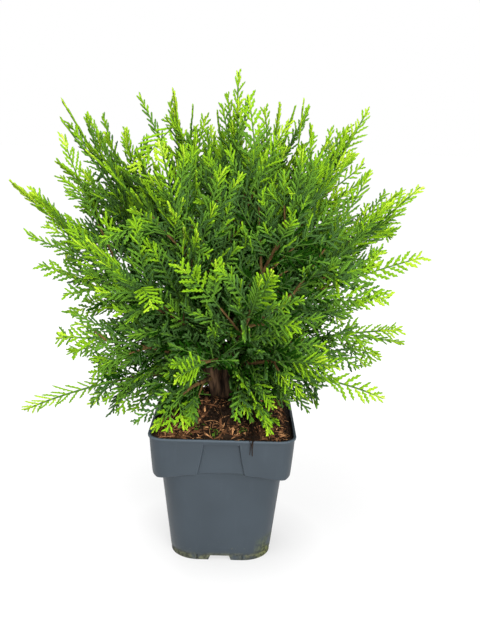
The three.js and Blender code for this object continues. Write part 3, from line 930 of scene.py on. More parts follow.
def pot_profile():
    """Half-width, corner radius, height and arch of every ring: up outside, over the rim and down inside."""
    foot = BASE_HALF - FOOT_LINE_DEPTH
    skirt_top = POT_HEIGHT - LIP_DROP
    inner_top = skirt_half_at(POT_HEIGHT) - WALL
    inner_corner = RIM_CORNER - WALL
    rings = [(foot - FOOT_INSET, BASE_CORNER - FOOT_INSET, 0.0, 0.0)]
    rings += round_rings(foot - FOOT_ROUND, FOOT_ROUND, FOOT_ROUND, -75, 0, 4, BASE_CORNER)
    rings += [(foot, BASE_CORNER, FOOT_FLAT_TOP, 0.0),
              (foot, BASE_CORNER, FOOT_LINE, 0.0),
              (BASE_HALF - EDGE / 2, BASE_CORNER, FOOT_LINE + EDGE, 0.0),
              (BASE_HALF, BASE_CORNER, FOOT_LINE + 2 * EDGE, 0.0)]
    for i in range(1, WALL_RINGS + 1):
        share = i / WALL_RINGS
        rings.append((mix(BASE_HALF, SHOULDER_HALF, share), mix(BASE_CORNER, SHOULDER_CORNER, share),
                      mix(FOOT_LINE + SEAM, SKIRT_FOOT - SEAM, share), SKIRT_ARCH * share))
    rings.append((SHOULDER_HALF + SEAM, SHOULDER_CORNER, SKIRT_FOOT, SKIRT_ARCH))
    rings += round_rings(SKIRT_HALF - SKIRT_ROUND, SKIRT_FOOT + SKIRT_ROUND, SKIRT_ROUND, -90, 5, 5,
                         RIM_CORNER, SKIRT_ARCH)
    for height in SKIRT_RINGS:
        share = 1 - min(1.0, (height - SKIRT_FOOT) / ARCH_FADE)
        rings.append((skirt_half_at(height), RIM_CORNER, height, SKIRT_ARCH * max(0.0, share)))
    rings += [(skirt_half_at(skirt_top) + EDGE / 4, RIM_CORNER, skirt_top, 0.0),
              (RIM_HALF - EDGE / 2, RIM_CORNER, skirt_top + LIP_EDGE, 0.0)]
    rings += round_rings(RIM_HALF - RIM_ROUND, POT_HEIGHT - RIM_ROUND, RIM_ROUND, 0, 90, 4, RIM_CORNER)
    rings += [(inner_top + EDGE, inner_corner, POT_HEIGHT - EDGE / 4, 0.0),
              (inner_top, inner_corner, POT_HEIGHT - LIP_INSIDE, 0.0)]
    for height in (PANEL_TOP + PANEL_BEVEL / 2, PANEL_TOP - PANEL_BEVEL / 2):
        rings.append((skirt_half_at(height) - WALL, inner_corner, height, 0.0))
    rings += [(skirt_half_at(SKIRT_BAND) - WALL, inner_corner, SKIRT_BAND, SKIRT_ARCH),
              (SHOULDER_HALF - WALL, SHOULDER_CORNER - WALL, SKIRT_FOOT, SKIRT_ARCH),
              (BASE_HALF - WALL, BASE_CORNER - WALL, FLOOR_TOP, 0.0)]
    return rings


def press_panel(point, height):
    """Sets the front of the skirt back at the label panel, by the height of its ring before the arch."""
    if point.y > -SHOULDER_HALF or not SKIRT_FOOT - MM < height < PANEL_TOP + PANEL_BEVEL:
        return
    half = panel_half_at(height)
    across = smooth(half + PANEL_BEVEL / 2, half - PANEL_BEVEL / 2, abs(point.x))
    below = smooth(PANEL_TOP + PANEL_BEVEL / 2, PANEL_TOP - PANEL_BEVEL / 2, height)
    room = max(0.0, -point.y - SHOULDER_HALF - PANEL_BACKING)
    point.y += min(PANEL_DEPTH, room) * across * below


def notch_block():
    """A block through the wall in front, narrower at its top."""
    ends = ((-NOTCH_UNDER, NOTCH_FOOT_HALF), (NOTCH_HEIGHT, NOTCH_TOP_HALF))
    return [Vector((x * half, -y, z)) for z, half in ends for y in (NOTCH_INNER, RIM_HALF) for x in (-1, 1)]


def outward(made):
    """Turns every face of a closed mesh outwards."""
    work = bmesh.new()
    work.from_mesh(made.data)
    bmesh.ops.remove_doubles(work, verts=work.verts, dist=1e-7)
    bmesh.ops.recalc_face_normals(work, faces=work.faces)
    work.to_mesh(made.data)
    work.free()


def pot_cutters():
    """The four notches under the pot and the four drains in its floor, as one object."""
    drain = [Vector((DRAIN_RADIUS * math.cos(angle), -DRAIN_OUT + DRAIN_RADIUS * math.sin(angle), z))
             for z in (NOTCH_HEIGHT / 2, 2 * FLOOR_TOP) for angle in around(DRAIN_SIDES)]
    drain_faces = ring_faces(DRAIN_SIDES, 2)
    drain_faces += [tuple(range(DRAIN_SIDES)), tuple(range(DRAIN_SIDES, 2 * DRAIN_SIDES))]
    shapes = []
    for turn in QUARTERS:
        shapes.append(([turn @ point for point in notch_block()], BOX_FACES))
        shapes.append(([turn @ point for point in drain], drain_faces))
    made = mesh_object("pot_cutters", *join_shapes(shapes))
    outward(made)
    return made


def build_pot(given):
    points, profile = [], pot_profile()
    for half, corner, height, arch in profile:
        ring = square_ring(half, corner, height, given.corner_steps, panel_half_at(height), arch)
        for point in ring:
            press_panel(point, height)
        points += ring
    count = len(ring)
    faces = ring_faces(count, len(profile))
    faces += [tuple(range(count)), tuple(range(len(points) - count, len(points)))]
    pot = mesh_object("moulded_pot", points, faces, pot_plastic(given))
    outward(pot)
    cutter = pot_cutters()
    cut = pot.modifiers.new("Notches and Drains", "BOOLEAN")
    cut.operation = "DIFFERENCE"
    cut.solver = "EXACT"
    cut.object = cutter
    keep_result(pot)
    bpy.data.objects.remove(cutter)
    pot.data.shade_smooth()
    pot.data.set_sharp_from_angle(angle=math.radians(SHARP_ANGLE))
    finish_piece(pot, "pot", ("pot",))


# Soil

def mound_height(x, y):
    """Height of the smooth mound of the root ball."""
    share = max(abs(x), abs(y)) / SOIL_EDGE_HALF
    share = mix(share, math.hypot(x, y) / SOIL_EDGE_HALF, MOUND_ROUND)
    for (wide, lift), (narrow, above) in zip(MOUND_PROFILE, MOUND_PROFILE[1:]):
        if share >= narrow:
            part = min(1.0, (wide - share) / (wide - narrow))
            return mix(SOIL_EDGE, MOUND_TOP, max(0.0, mix(lift, above, part)))
    return MOUND_TOP


def soil_relief(x, y):
    return SOIL_RELIEF * noise.fractal(Vector((x, y, 0.3)) * SOIL_LUMPS, 0.9, 2.1, 4)


def round_corner(x, y, half):
    """Pulls a place in a square in from its corner to the rounded edge."""
    flat = half - RIM_CORNER
    over = Vector((max(0.0, abs(x) - flat), max(0.0, abs(y) - flat)))
    if over.length > RIM_CORNER:
        over *= RIM_CORNER / over.length
        return math.copysign(flat + over.x, x), math.copysign(flat + over.y, y)
    return x, y


def peat_mound(given):
    """The mound on a grid, then rings down inside the pot to a flat bottom."""
    last, row = SOIL_STEPS, SOIL_STEPS + 1
    half = SOIL_EDGE_HALF + SOIL_GRIP
    marks = [mix(-half, half, i / last) for i in range(row)]
    points, faces = [], []
    for x, y in [round_corner(x, y, half) for x in marks for y in marks]:
        near_wall = smooth(half, half - WALL_BLEND, max(abs(x), abs(y)))
        points.append((x, y, mound_height(x, y) + soil_relief(x, y) * near_wall))
    for first in range(0, last * row, row):
        faces += [(a, a + row, a + row + 1, a + 1) for a in range(first, first + last)]
    rim = list(range(row))
    rim += [i * row + last for i in range(1, row)]
    rim += [last * row + j for j in range(last - 1, -1, -1)]
    rim += [i * row for i in range(last - 1, 0, -1)]
    rings = [rim]
    for level, inner in SOIL_LEVELS:
        rings.append(range(len(points), len(points) + len(rim)))
        points += [(points[i][0] * inner / half, points[i][1] * inner / half, level) for i in rim]
    for upper, lower in zip(rings, rings[1:]):
        for k in range(len(rim)):
            n = (k + 1) % len(rim)
            faces.append((upper[k], upper[n], lower[n], lower[k]))
    faces.append(tuple(rings[-1]))
    peat = mesh_object("peat_mound", points, faces, earth("peat", given.peat, shaded(given.peat, 1.7), 420.0))
    outward(peat)
    peat.data.shade_smooth()
    finish_piece(peat, "soil", SOIL_NODES)


def build_soil(given):
    peat_mound(given)
    draw = random.Random(SOIL_SEED)
    shapes = [crumb_shape(draw) for _ in range(CRUMBS)]
    shapes += [chip_shape(draw) for _ in range(CHIPS)]
    shapes += [fibre_shape(draw) for _ in range(FIBRES)]
    shapes = shape_collection("litter", shapes)
    chips = (CRUMBS, CRUMBS + CHIPS - 1)
    strands = (CRUMBS + CHIPS - 2, CRUMBS + CHIPS + FIBRES - 1)
    # Each kind: its piece, number, first and last shape, sizes, height above the peat and material
    kinds = (
        ("peat_crumbs", given.crumbs, (0, CRUMBS - 1), (0.7, 2.6), 0.0006,
         earth("crumb", given.peat, shaded(given.peat, 2), 600.0)),
        ("bark_chips", given.chips, chips, (0.6, 1.35), 0.0012,
         earth("chip", shaded(given.chip, 0.22), given.chip, 130.0)),
        ("orange_chips", given.pale_chips, chips, (0.45, 0.95), 0.0022,
         earth("pale_chip", given.chip, given.pale_chip, 200.0)),
        ("pale_fibres", given.fibres, strands, (0.5, 1.2), 0.0018,
         earth("fibre", given.chip, given.pale_chip, 260.0)),
    )
    for name, number, choice, sizes, lift, material in kinds:
        rows = [litter_place(draw, choice, sizes, lift) for _ in range(number)]
        if name.endswith("chips"):
            rows = [row for row in rows if lies_on_bark(row[0])]
        scatter(name, rows, shapes, material, "soil", SOIL_NODES)
    drop_collection(shapes)
    skin_runs("loose_roots", root_runs(draw), ROOT_SIDES,
              earth("root", given.peat, shaded(given.peat, 1.6), 500.0), "soil", SOIL_NODES)
    leaves = shape_collection("seed_leaf", [seed_leaf_shape(draw) for _ in range(SEED_SHAPES)])
    scatter("seedlings", seedling_rows(draw), leaves,
            earth("seedling", shaded(given.weed, 0.5), given.weed, 500.0), "foliage", SOIL_NODES)
    drop_collection(leaves)


def lies_on_bark(point):
    """Chips leave bare patches of dark peat, the widest in front of the stems."""
    near = smooth(DARK_PEAT_WIDE, 0.0, (Vector((point.x, point.y)) - DARK_PEAT).length)
    return noise.noise(Vector((point.x, point.y, 0.4)) * BARK_PATCHES) > 0.6 * near


def root_runs(draw):
    """Dark fine roots that lie on the peat, a few of them hanging over the rim."""
    runs = []
    for k in range(ROOT_STRANDS):
        run, radii = [], []
        x0, y0 = draw.uniform(*ROOTS_ACROSS), draw.uniform(*ROOTS_DEEP)
        turn = math.radians(draw.gauss(-70, 25))
        spread = OVER_RIM_SPREAD if k < ROOTS_OVER_RIM else BUNDLE_SPREAD
        for step in range(ROOT_STEPS + 1):
            share = step / ROOT_STEPS
            if k < ROOTS_IN_BUNDLE:
                x, y = ROOT_BUNDLE[min(2, step // 2 + step % 2)]
                x, y = x + draw.gauss(0, spread), y + step * ROOT_SHIFT + draw.gauss(0, spread / 2)
                y = max(y, -SOIL_EDGE_HALF + ROOT_CLEAR)
            else:
                x = x0 + ROOT_LENGTH * share * math.cos(turn) + draw.gauss(0, ROOT_WANDER)
                y = y0 + ROOT_LENGTH * share * math.sin(turn) + draw.gauss(0, ROOT_WANDER)
            run.append(Vector((x, y, mound_height(x, y) + ROOT_LIFT + draw.uniform(0, 0.0025))))
            radii.append(mix(*ROOT_RADII, share))
        if k < ROOTS_OVER_RIM:
            x = run[-1].x
            for y, z in ((0.0655, 0.1245), (0.0668, 0.1205), (0.0667, draw.uniform(0.109, 0.117))):
                run.append(Vector((x + draw.gauss(0, 0.0006), -y, z)))
                radii.append(ROOT_END_RADIUS)
        runs.append((run, radii))
    return runs


def seed_leaf_shape(draw):
    """A small folded leaf on a short stalk."""
    long, wide = draw.uniform(0.9, 1.2), draw.uniform(0.35, 0.5)
    outline = ((0, 0, 0), (0.45 * long, -wide / 2, 0.05), (long, 0, 0.1), (0.45 * long, wide / 2, 0.05),
               (0.5 * long, 0, -0.03))
    return [Vector(p) * SEED_SIZE for p in outline], [(0, 1, 4), (1, 2, 4), (2, 3, 4), (3, 0, 4)]


def seedling_rows(draw):
    """Little tufts that have seeded themselves in the peat."""
    rows = []
    for x, y, spread in SEEDLINGS:
        for _ in range(SEED_LEAVES):
            here = Vector((x + draw.gauss(0, spread / 2), y + draw.gauss(0, spread / 2), 0))
            here.z = mound_height(here.x, here.y) + draw.uniform(0.0005, 0.004)
            along = aim(draw.uniform(0, 360), draw.uniform(5, 50))
            size = draw.uniform(0.5, 1.1)
            rows.append((here, along, square_to(along, UP), (size, size, size), draw.randrange(SEED_SHAPES)))
    return rows


def litter_place(draw, choice, sizes, lift):
    """Where one bit of litter lies: nearly flat on the mound and clear of the wall."""
    x, y = draw.uniform(-LITTER_HALF, LITTER_HALF), draw.uniform(-LITTER_HALF, LITTER_HALF)
    over = [max(0.0, abs(way) - LITTER_HALF + LITTER_CORNER) for way in (x, y)]
    if math.hypot(*over) > LITTER_CORNER:
        x, y = x * CORNER_PULL, y * CORNER_PULL
    height = mound_height(x, y) + soil_relief(x, y)
    slope = Vector((mound_height(x - MM, y) - mound_height(x + MM, y),
                    mound_height(x, y - MM) - mound_height(x, y + MM), 2 * MM)).normalized()
    turn = draw.uniform(0, 2 * math.pi)
    along = square_to(slope, Vector((math.cos(turn), math.sin(turn), 0)))
    along = (along + slope * draw.gauss(0.0, LITTER_LEAN)).normalized()
    face = (slope + jitter(draw, LITTER_TILT)).normalized()
    size = draw.uniform(*sizes)
    root = Vector((x, y, height + draw.uniform(0, lift))) - along * LITTER_BACK
    far = root + along * LITTER_LENGTH * size
    if max(abs(root.x), abs(root.y), abs(far.x), abs(far.y)) > LITTER_WALL:
        size *= LITTER_AT_WALL
        root = Vector((x, y, height)) - along * BACK_AT_WALL
    return root, along, face, (size, size, size), draw.randint(*choice)


def crumb_shape(draw):
    points = []
    for z, ring in ((-0.7, 1), (0.0, 4), (0.7, 1)):
        for angle in around(ring):
            angle += draw.uniform(-0.3, 0.3)
            wide = (1.0 if ring > 1 else 0.15) * draw.uniform(0.7, 1.3)
            height = z * draw.uniform(0.7, 1.3)
            points.append(Vector((wide * math.cos(angle), wide * math.sin(angle), height)) * CRUMB_SIZE)
    faces = [(0, 1 + (i + 1) % 4, 1 + i) for i in range(4)]
    faces += [(5, 1 + i, 1 + (i + 1) % 4) for i in range(4)]
    return points, faces


def chip_shape(draw):
    """A split, slightly bent sliver of bark."""
    length = draw.uniform(0.006, 0.013)
    wide = draw.uniform(0.0011, 0.0024)
    thick = draw.uniform(0.0004, 0.0009)
    points = []
    for share, scale in ((0.0, 0.35), (0.35, 1.0), (0.75, 0.9), (1.0, 0.3)):
        bow = CHIP_BOW * math.sin(math.pi * share)
        for sy, sz in ((-1, -1), (1, -1), (1, 1), (-1, 1)):
            y = sy * wide / 2 * scale * draw.uniform(0.7, 1.2)
            points.append(Vector((length * share, y, bow + sz * thick / 2 * draw.uniform(0.7, 1.2))))
    return points, [(0, 3, 2, 1), (12, 13, 14, 15)] + ring_faces(4, 4)


def fibre_shape(draw):
    """A thin curled strand with three sides."""
    length = draw.uniform(0.008, 0.018)
    radius = draw.uniform(0.00016, 0.00034)
    curl = draw.uniform(-0.004, 0.004)
    lift = draw.uniform(0.0, 0.002)
    points = []
    for share in (0, 1 / 3, 2 / 3, 1):
        bow = math.sin(math.pi * share)
        points += [Vector((length * share, curl * bow + radius * math.cos(angle),
                           lift * bow + radius * math.sin(angle))) for angle in around(3)]
    return points, [(0, 1, 2), (9, 11, 10)] + [(a, d, c, b) for a, b, c, d in ring_faces(3, 4)]


# Paths and limbs

class Path:
    """A run of points with a place and a heading at every share of its length."""

    def __init__(self, points):
        self.points = points
        self.ends = [0.0]
        for a, b in zip(points, points[1:]):
            self.ends.append(self.ends[-1] + (b - a).length)
        self.length = self.ends[-1]

    def span(self, share):
        reach = clamp(share) * self.length
        for i in range(len(self.points) - 1):
            if reach <= self.ends[i + 1] or i == len(self.points) - 2:
                part = (reach - self.ends[i]) / max(1e-9, self.ends[i + 1] - self.ends[i])
                return i, part

    def point(self, share):
        i, part = self.span(share)
        return self.points[i].lerp(self.points[i + 1], part)

    def heading(self, share):
        i, _ = self.span(share)
        return (self.points[i + 1] - self.points[i]).normalized()


def bezier_path(root, bend, tip, count=24):
    points = []
    for i in range(count + 1):
        t = i / count
        points.append(root * (1 - t) ** 2 + bend * (2 * t * (1 - t)) + tip * t ** 2)
    return Path(points)


def stem_curve(i):
    out = aim(STEM_TURNS[i], 0)
    foot = out * STEM_FOOT_OUT[i] + UP * (MOUND_TOP - STEM_BURIED)
    top = out * STEM_TOP_OUT[i] + UP * STEM_TOP_HEIGHT[i]
    bend = foot.lerp(top, 0.5) + out * STEM_BOW
    return foot, bend, top


def stem_radius(i, share):
    height = (STEM_TOP_HEIGHT[i] - MOUND_TOP + STEM_BURIED) * share - STEM_BURIED
    flare = 1 + (ROOT_FLARE - 1) * clamp(1 - height / ROOT_FLARE_HEIGHT) ** 2
    return mix(STEM_FOOT_RADIUS[i], STEM_TOP_RADIUS, share) * flare


class Limb:
    """One limb of the source's rule: the same root, bend and tip."""

    def __init__(self, tier, index):
        count = len(tier["rise"])
        turn = tier["first"] + 360 * index / count
        self.tier = tier["name"]
        self.number = index + 1
        self.heading = aim(turn, tier["rise"][index])
        self.reach = tier["reach"][index]
        self.tip = HEART + self.heading * self.reach
        gaps = [abs((turn - other + 540) % 360 - 180) for other in STEM_TURNS]
        stem = gaps.index(min(gaps))
        height = tier["start"] + (START_STAGGER if index % 2 else -START_STAGGER)
        low = MOUND_TOP - STEM_BURIED
        share = min((height - low) / (STEM_TOP_HEIGHT[stem] - low), LAST_START)
        foot, middle, top = stem_curve(stem)
        root = foot * (1 - share) ** 2 + middle * (2 * share * (1 - share)) + top * share ** 2
        bend = root.lerp(self.tip, 0.5) + UP * tier["arch"]
        self.path = bezier_path(root, bend, self.tip)
        self.lowest = min(self.tip.z, MOUND_TOP) - 0.004

    def radius(self, share):
        if share < BOUGH_SHARE:
            return mix(LIMB_ROOT_RADIUS, LIMB_JOINT_RADIUS, share / BOUGH_SHARE)
        return mix(LIMB_JOINT_RADIUS, LIMB_TIP_RADIUS, (share - BOUGH_SHARE) / (1 - BOUGH_SHARE))


LIMBS = [Limb(tier, index) for tier in TIERS for index in range(len(tier["rise"]))]


def limb_nodes(kind, tier):
    return [f"{kind}_{tier}_{limb.number}" for limb in LIMBS if limb.tier == tier]


# Noise on bark: turns round the tube and lumps to a metre along it, for the furrows and for the fine grain
FURROWS = (2.2, 32)
GRAIN = (5, 90)
FULL_RELIEF_RADIUS = 0.004


def bark_tube(path, radius_at, sides, gap, relief, seed):
    """A tube whose skin is furrowed along its length."""
    rings = max(4, int(path.length / gap)) + 1
    points = []
    side = None
    for r in range(rings):
        share = r / (rings - 1)
        centre, along = path.point(share), path.heading(share)
        side = square_to(along, side) if side else along.orthogonal().normalized()
        other = along.cross(side)
        radius = radius_at(share)
        depth = relief * min(1.0, radius / FULL_RELIEF_RADIUS)
        for angle in around(sides):
            coarse, fine = [Vector((math.cos(angle) * turns, math.sin(angle) * turns,
                                    share * path.length * lumps)) for turns, lumps in (FURROWS, GRAIN)]
            furrow = noise.fractal(coarse + Vector((seed, 0, 0)), 0.8, 2.0, 4)
            furrow += 0.5 * noise.noise(fine + Vector((0, seed, 0)))
            points.append(centre + leaning(side, other, angle) * (radius + depth * furrow))
    faces = ring_faces(sides, rings)
    faces += [tuple(reversed(range(sides))), tuple(range(len(points) - sides, len(points)))]
    return points, faces


def part_path(path, start, end, count=14):
    return Path([path.point(mix(start, end, i / count)) for i in range(count + 1)])


def bark_piece(name, shapes, material, nodes):
    piece = mesh_object(name, *join_shapes(shapes), material)
    piece.data.shade_smooth()
    finish_piece(piece, "bark", nodes)


def build_wood(given):
    """Stems and boughs with bark relief."""
    bark = bark_wood("old_bark", given.bark, given.bark_light, 240.0)
    stems = []
    for i in range(len(STEM_TURNS)):
        path = bezier_path(*stem_curve(i), 40)
        stems.append(bark_tube(path, lambda s, i=i: stem_radius(i, s), STEM_SIDES, given.ring_gap,
                               given.relief, 3.0 * i))
    bark_piece("stem_bark", stems, bark, ("stem_clump",))
    young = bark_wood("young_bark", given.bark, given.twig, 420.0)
    for tier in TIERS:
        shapes = []
        for limb in [limb for limb in LIMBS if limb.tier == tier["name"]]:
            path = part_path(limb.path, 0.0, BOUGH_SHARE)
            shapes.append(bark_tube(path, lambda s, limb=limb: limb.radius(s * BOUGH_SHARE), BOUGH_SIDES,
                                    given.ring_gap * 1.3, given.relief * 0.5, limb.number * 5.0))
        bark_piece(f"boughs_{tier['name']}", shapes, young, limb_nodes("bough", tier["name"]))


# Crown

def lobe(points, faces, root, turn, length, width, tilt):
    """A short side lobe, arched across and widest near its blunt tip."""
    first = len(points)
    for along, across, lift in LOBE_OUTLINE:
        u, v = along * length, across * width
        points.append(Vector((root.x + u * math.cos(turn) - v * math.sin(turn),
                              root.y + u * math.sin(turn) + v * math.cos(turn),
                              root.z + u * tilt + lift * width)))
    faces.append(tuple(range(first, first + len(LOBE_OUTLINE))))


def branchlet_shape(draw, length, habit):
    """A branchlet along +X: a rounded axis with a blunt tip, and lobes that lean forwards on both sides."""
    long, wide = habit["lobe"]
    points = []
    bow = draw.uniform(-0.14, 0.14)

    def middle(at):
        return Vector((at, bow * at * at / length, 0))

    for share, thick in AXIS_SHAPE:
        for angle in around(AXIS_SIDES):
            ray = Vector((0, math.cos(angle + math.pi / 2), math.sin(angle + math.pi / 2)))
            points.append(middle(share * length) + ray * (habit["radius"] * thick * draw.uniform(0.9, 1.1)))
    last, tip = len(points) - AXIS_SIDES, len(points)
    points.append(middle(length))
    faces = ring_faces(AXIS_SIDES, len(AXIS_SHAPE))
    faces += [(last + i, last + (i + 1) % AXIS_SIDES, tip) for i in range(AXIS_SIDES)]
    at, side = draw.uniform(0.0004, 0.0014), draw.choice((-1, 1))
    while at < length - long * 0.75:
        turn = side * math.radians(habit["lean"] + draw.uniform(-5, 5))
        room = min(1.0, 0.45 + 0.55 * (length - at) / (long * 2.6))
        size = long * room * draw.uniform(0.86, 1.12)
        lobe(points, faces, middle(at), turn, size, wide * draw.uniform(0.9, 1.1), draw.uniform(-0.22, 0.22))
        side = -side
        at += habit["gap"] * draw.uniform(0.9, 1.1)
    return points, faces


def spray_shapes():
    """The axis of a branchlet, one metre long before it is scaled, then the cords and the fronds."""
    half = AXIS_HALF
    blade = [Vector((x, y, z)) for x in (0.0, 1.0) for y, z in ((-half, 0), (0, half * 0.8), (half, 0))]
    shapes = [(blade, [(0, 3, 4, 1), (1, 4, 5, 2)])]
    draw = random.Random(SHAPE_SEED)
    for habit in HABITS.values():
        for length in habit["lengths"]:
            shapes += [branchlet_shape(draw, length, habit) for _ in range(VARIANTS)]
    return shapes


HEADINGS = np.array([limb.heading[:] for limb in LIMBS])
REACHES = np.array([limb.reach for limb in LIMBS])


def crown_reach(direction):
    """How far the crown goes from its heart in a direction: full along a limb, less between limbs."""
    angles = np.arccos(np.clip(HEADINGS @ np.array(direction[:]), -1, 1))
    return float(np.max(REACHES * np.clip(1 - FALLOFF * (angles / FALLOFF_ANGLE) ** 1.2, 0.3, 1)))


def inside_pot(point):
    if max(abs(point.x), abs(point.y)) > RIM_HALF + 0.0015:
        return False
    if point.z < POT_HEIGHT + 0.001:
        return True
    return point.z < mound_height(point.x, point.y) + 0.002


def in_stem_space(point):
    """The bare foot of the clump, where the stems show, and a gap in the foliage before it."""
    if point.y < 0 and abs(point.x - BARE_MIDDLE) < BARE_HALF and point.z < BARE_TOP - 0.3 * point.y:
        return True
    return point.y < 0.006 and math.hypot(point.x, point.y) < BARE_ROUND and point.z < BARE_TOP - 0.008


def tilted(face, heading, draw):
    return square_to(heading, face + jitter(draw, 0.14))


def side_of(along, roll):
    """Straight out from a shoot: level at a roll of nought."""
    side = along.cross(UP).normalized()
    side.rotate(Quaternion(along, roll))
    return side


def side_heading(along, roll, angle):
    return leaning(along, side_of(along, roll), angle).normalized()


def flat_face(along, plane):
    """The face of a spray that is held in a plane, if it is held in one."""
    return None if plane is None else along.cross(side_of(along, plane))


def spray_face(root, heading, draw):
    """Sprays turn a flat side outwards, or stand in upright planes where they point outwards themselves."""
    out = root - HEART
    out.z = 0
    out.normalize()
    across = UP.cross(out) * draw.choice((-0.6, 0.6))
    return square_to(heading, out * 0.9 + across + jitter(draw, 0.28))


def side_turns(limb, draw):
    """Endless rolls for the side shoots of a limb, each with its plane where it keeps to one. The plane is
    level in front and behind, and hangs at the sides."""
    plane = math.radians(70 * abs(limb.heading.x) + draw.gauss(0, 12)) * draw.choice((-1, 1))
    roll, hand = draw.uniform(0, 2 * math.pi), 0
    while True:
        if draw.random() < FLATNESS[limb.tier]:
            hand += 1
            yield plane + math.pi * (hand % 2) + draw.gauss(0, 0.15), plane
        else:
            roll += GOLDEN_TURN
            yield roll, None


def hang(limb, along, heading):
    """Low boughs seen from the side carry short fronds above and long ones below."""
    if BEND_UP[limb.tier] > 0:
        return 1.0
    return mix(1.0, 0.5 if heading.z > along.z else 1.25, abs(limb.heading.x))


class Crown:
    """Everything that grows on the limbs, gathered by tier and tone."""

    def __init__(self, given):
        self.given = given
        self.sprigs = {}
        self.twigs = {}

    def free(self, limb, point, share=1.0):
        if point.z < limb.lowest or inside_pot(point) or in_stem_space(point):
            return False
        out = point - HEART
        return out.length <= crown_reach(out.normalized()) * share + 0.001

    def tone(self, point, place, young, draw):
        """Darker inside and below, fresh outside and above, lime only towards the ends: partly the older and
        newer growth's own colours and partly painted shade inside the crown.
        """
        out = point - HEART
        # Painted shade in part: the deeper inside the crown, the darker the tone
        depth = out.length / crown_reach(out.normalized())
        height = smooth(0.14, 0.36, point.z)
        score = mix(*TONE_START, height) + mix(*TONE_OUT, height) * smooth(0.35, 1.0, depth) ** 1.2 + young
        score += mix(*TONE_ALONG, height) * place ** 2.4 + draw.gauss(0, 0.05)
        return TONES[sum(score > step for step in TONE_STEPS)]

    def put(self, limb, root, along, face, size, shape, tone):
        self.sprigs.setdefault((limb.tier, tone), []).append((root, along, face, size, shape))

    def simple(self, limb, root, along, face, length, tone, habit, draw):
        """The one branchlet shape whose own length comes nearest."""
        kind = HABITS["cord" if length < SHORTEST_FROND else habit]
        lengths = kind["lengths"]
        nearest = min(range(len(lengths)), key=lambda k: abs(lengths[k] - length))
        scale = length / lengths[nearest]
        wide = mix(1.0, scale, 0.5) * draw.choice((-1, 1))
        shape = kind["first"] + nearest * VARIANTS + draw.randrange(VARIANTS)
        self.put(limb, root, along, face, (scale, wide, wide), shape, tone)

    def branchlet(self, limb, root, along, face, length, place, young, habit, draw):
        """A side branch of a spray: one simple branchlet, or an axis with several of its own."""
        if not self.free(limb, root + along * length):
            length *= 0.6
            if length < SHORTEST_BRANCHLET or not self.free(limb, root + along * length):
                return
        if length <= HABITS[habit]["longest"]:
            tone = self.tone(root + along * length, place, young, draw)
            self.simple(limb, root, along, face, length, tone, habit, draw)
            return
        across = face.cross(along)
        axis_tone = self.tone(root, place, young - 0.10, draw)
        self.put(limb, root, along, face, (length * 0.9, 1, 1), BLADE, axis_tone)
        back, side = TIP_BARE, draw.choice((-1, 1))
        while back < length * 0.92:
            share = 1 - back / length
            size = min(SIDE_TIP + SIDE_WIDENS * back, SIDE_WIDEST)
            size = size * mix(0.8, 1, share) * draw.uniform(0.85, 1.12)
            lean = math.radians(mix(*SIDE_LEAN, share) + draw.uniform(-4, 4))
            heading = leaning(along, across, side * lean)
            start = root + along * (length - back)
            tone = self.tone(start + heading * size, mix(place, 1, share ** 2 * 0.7), young, draw)
            self.simple(limb, start, heading, tilted(face, heading, draw), size, tone, habit, draw)
            side = -side
            back += self.gap(size, habit) * draw.uniform(0.85, 1.1)
        tone = self.tone(root + along * length, mix(place, 1, 0.7), young + 0.07, draw)
        self.simple(limb, root + along * (length - 0.012), along, face, SIDE_END, tone, "cord", draw)

    def gap(self, size, habit):
        """Longer branchlets stand further apart, and wide flat ones more so."""
        share, doubled = HABITS[habit]["room"]
        return self.given.sprig_gap * (share + size / doubled)

    def spray(self, limb, path, face, bare, slender, young, draw, habit=None):
        """A flat spray along a path: branchlets on alternate sides, longest towards its foot."""
        length = path.length
        habit = habit or ("frond" if draw.random() < FRONDS[limb.tier] else "cord")
        back, side = TIP_BARE, draw.choice((-1, 1))
        while back < length * (1 - bare):
            share = 1 - back / length
            start, along = path.point(share), path.heading(share)
            flat = square_to(along, face)
            size = SPRAY_TIP + slender * back
            size *= mix(0.5, 1, smooth(bare, bare + 0.35, share)) * draw.uniform(0.7, 1.2)
            size = min(size, SPRAY_WIDEST)
            lean = mix(*SPRAY_LEAN, share ** 1.5) + HABITS[habit]["wider"] + draw.uniform(-7, 7)
            heading = leaning(along, flat.cross(along), side * math.radians(lean)).normalized()
            self.branchlet(limb, start, heading, tilted(flat, heading, draw), size, share, young, habit, draw)
            side = -side
            back += self.gap(size, habit) * draw.uniform(0.85, 1.15)
        tip, along = path.point(1), path.heading(1)
        tone = self.tone(tip, 1, young + 0.06, draw)
        self.simple(limb, tip - along * SPRAY_END, along, square_to(along, face), SPRAY_END, tone,
                    "cord", draw)

    def add_twig(self, limb, path, kind, start, end, thick, thin, steps):
        shares = [i / steps for i in range(steps + 1)]
        points = [path.point(mix(start, end, share)) for share in shares]
        radii = [mix(thick, thin, share) for share in shares]
        self.twigs.setdefault((limb.tier, kind), []).append((points, radii))

    def shoot_path(self, limb, root, heading, length, draw, pull=None, limit=None):
        """A shoot that bends the way its tier grows. It is shortened until its end is within the crown."""
        if pull is None:
            pull = UP * BEND_UP[limb.tier] + limb.heading * BEND_OUT[limb.tier]
        pull = pull + jitter(draw, 0.15)
        limit = limit or SHOOT_LIMIT[limb.tier] - LIMIT_SPREAD * draw.random()
        steps = 7
        for _ in range(8):
            points, along = [root], heading.copy()
            for _ in range(steps):
                along = (along + pull * (length / BEND_LENGTH / steps)).normalized()
                points.append(points[-1] + along * (length / steps))
            if self.free(limb, points[-1], limit) and all(self.free(limb, point) for point in points[2:-1]):
                return Path(points)
            length *= 0.86
        return None

